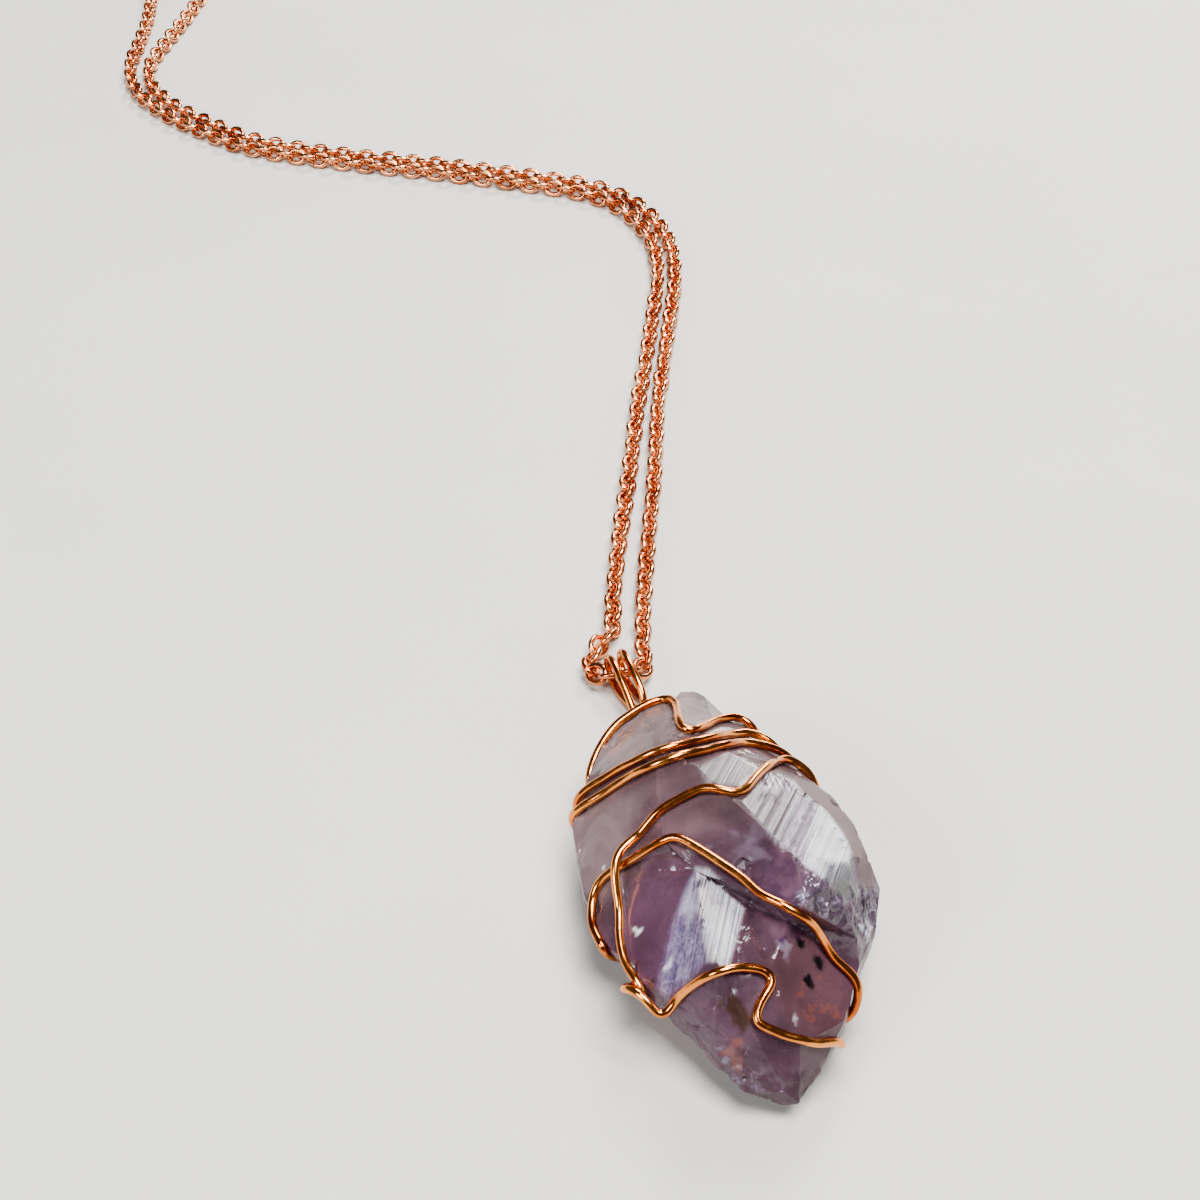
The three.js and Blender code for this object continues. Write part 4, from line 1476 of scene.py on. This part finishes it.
@dataclass
class Fastening:
    """The spring ring and the end ring that close the chain."""

    clasp_centre: tuple[float, float, float] = (-33.05, 246.2, 1.15)
    clasp_radius: float = 2.2
    clasp_wire: float = 0.45
    clasp_tilt: float = 16.0
    clasp_arc: tuple[float, float] = (-20.0, 310.0)
    bolt_arc: tuple[float, float] = (308.0, 342.0)
    bolt_share: float = 0.7
    end_share: float = 0.93
    knob_line: tuple[tuple[float, float, float], ...] = (
        (1.35, -1.5, 0.1), (1.5, -1.68, 0.35), (1.62, -1.8, 0.62), (1.64, -1.82, 0.8),
    )
    knob_radii: tuple[float, float] = (0.2, 0.26)
    eye_radius: float = 0.55
    eye_wire: float = 0.16
    eye_reach: float = 0.35
    ring_centre: tuple[float, float, float] = (-30.85, 246.2, 1.98)
    ring_radius: float = 1.6
    ring_wire: float = 0.35
    ring_arc: tuple[float, float] = (92.0, 451.0)

    @staticmethod
    def circle(radius: float, count: int, start: float = 0.0, stop: float = 2 * math.pi) -> Array:
        """Lays points of a level arc round the origin.

        Args:
            radius: the arc's radius.
            count: how many points it has.
            start: where it starts, in radians.
            stop: where it stops; a full turn leaves out its last point.

        Returns:
            The points.
        """
        around = np.linspace(start, stop, count, endpoint=stop - start < 2 * math.pi - 1e-6)
        return np.column_stack([radius * np.cos(around), radius * np.sin(around), np.zeros(count)])

    def clasp(self) -> bpy.types.Object:
        """Makes a spring ring: a round tube, a thinner bolt across its gap, a knob and an eye.

        Returns:
            The spring ring.
        """
        body = self.circle(self.clasp_radius, 72, *map(math.radians, self.clasp_arc))
        bolt = self.circle(self.clasp_radius, 14, *map(math.radians, self.bolt_arc))
        swell = np.full(len(body), self.clasp_wire)
        swell[:3] = swell[-3:] = self.clasp_wire * self.end_share
        knob = eased_line(np.array(self.knob_line), 0.08)
        eye = self.circle(self.eye_radius, 28)
        eye = eye[:, [0, 2, 1]] + np.array([-self.clasp_radius - self.eye_reach, 0.0, 0.0])
        parts = [
            tube(body, swell, sides=16),
            tube(bolt, np.full(len(bolt), self.clasp_wire * self.bolt_share), sides=12),
            tube(knob, np.linspace(*self.knob_radii, len(knob)), sides=12),
            tube(eye, np.full(len(eye), self.eye_wire), sides=10, closed=True),
        ]
        points, faces = joined(parts)
        turn = np.array(Matrix.Rotation(math.radians(self.clasp_tilt), 3, "Y"))
        points = points @ turn.T + np.array(self.clasp_centre)
        piece = make_piece("spring_ring", placed(points), faces)
        finish_piece(piece, LINK_COPPER.material(), "rose_copper", "clasp")
        return piece

    def end_ring(self) -> bpy.types.Object:
        """Makes a round jump ring with its two cut ends pressed together.

        Returns:
            The jump ring.
        """
        line = self.circle(self.ring_radius, 64, *map(math.radians, self.ring_arc))
        line = line[:, [0, 2, 1]]
        points, faces = tube(line, np.full(len(line), self.ring_wire), sides=14)
        points = points + np.array(self.ring_centre)
        piece = make_piece("jump_ring", placed(points), faces)
        finish_piece(piece, LINK_COPPER.material(), "rose_copper", "end_ring")
        return piece


@dataclass(frozen=True)
class Lamp:
    """A soft square light: place and aim in the row frame in metres, size, power and colour."""

    place: tuple[float, float, float]
    aim: tuple[float, float, float]
    size: float
    power: float
    colour: Colour


class Light(Enum):
    """The lights of the studio."""

    WINDOW = Lamp((0.224, 0.487, 0.448), (-0.001, -0.014, 0.01), 0.20, 3.4, (1.0, 0.98, 0.96))
    LOW = Lamp((0.415, 0.550, 0.100), (0.006, -0.010, 0.01), 0.13, 1.2, (1.0, 0.98, 0.96))
    OVERHEAD = Lamp((0.10, -0.12, 0.75), (0.0, 0.0, 0.0), 0.42, 10.5, (1.0, 0.99, 0.97))
    SIDE = Lamp((-0.55, -0.25, 0.40), (0.0, 0.0, 0.0), 0.25, 3.0, (0.96, 0.98, 1.0))


@dataclass(frozen=True)
class Studio:
    """The floor, lights, surroundings and camera."""

    floor_reach: float = 2.5
    camera_place: tuple[float, float, float] = (-41.9, -122.5, 149.0)
    camera_turn: float = 13.9
    camera_pitch: float = 40.9
    picture_focus: float = 1930.0
    picture_size: float = 1200.0
    sensor: float = 36.0
    sky: Colour = (0.80, 0.82, 0.85)
    sky_strength: float = 0.12

    def camera(self) -> None:
        """Sets the camera at the photograph's place, looking down at the pendant."""
        data = bpy.data.cameras.new("camera")
        data.sensor_width = self.sensor
        data.lens = self.sensor * self.picture_focus / self.picture_size
        data.clip_start = 0.005
        camera = bpy.data.objects.new("camera", data)
        bpy.context.scene.collection.objects.link(camera)
        camera.location = Vector(placed(np.array(self.camera_place)))
        camera.rotation_mode = "XYZ"
        camera.rotation_euler = (math.radians(90 - self.camera_pitch), 0.0, math.radians(-self.camera_turn))
        bpy.context.scene.camera = camera

    def floor(self) -> None:
        """Lays a wide, pale, level sheet."""
        corners = self.floor_reach * np.array([[-1, -1, 0], [1, -1, 0], [1, 1, 0], [-1, 1, 0]])
        floor = make_piece("floor", corners, [np.array([[0, 1, 2, 3]])], smooth=False)
        floor.data.materials.append(FloorFinish().material())

    def lights(self) -> None:
        """Hangs the soft lights and sets the even light of the surroundings."""
        for light in Light:
            lamp = light.value
            data = bpy.data.lights.new(light.name.lower(), "AREA")
            data.size = lamp.size
            data.energy = lamp.power
            data.color = lamp.colour
            hung = bpy.data.objects.new(light.name.lower(), data)
            bpy.context.scene.collection.objects.link(hung)
            hung.location = lamp.place
            hung.rotation_mode = "QUATERNION"
            hung.rotation_quaternion = (Vector(lamp.aim) - Vector(lamp.place)).to_track_quat("-Z", "Y")
        world = bpy.data.worlds.new("surroundings")
        world.use_nodes = True
        background = world.node_tree.nodes["Background"]
        background.inputs["Color"].default_value = opaque(self.sky)
        background.inputs["Strength"].default_value = self.sky_strength
        bpy.context.scene.world = world
        bpy.context.scene.view_settings.look = "AgX - Medium High Contrast"

    def build(self) -> None:
        """Makes the whole studio."""
        self.camera()
        self.floor()
        self.lights()


def main() -> None:
    """Builds the studio and every piece in order."""
    logging.basicConfig(level=logging.INFO, format="%(name)s %(message)s")
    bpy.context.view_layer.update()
    Studio().build()
    fastening = Fastening()
    clasp = fastening.clasp()
    end_ring = fastening.end_ring()
    CableChain().build(clasp, end_ring)
    crystal = Crystal().build()
    WrapWire().build(crystal)


if __name__ == "__main__":
    main()
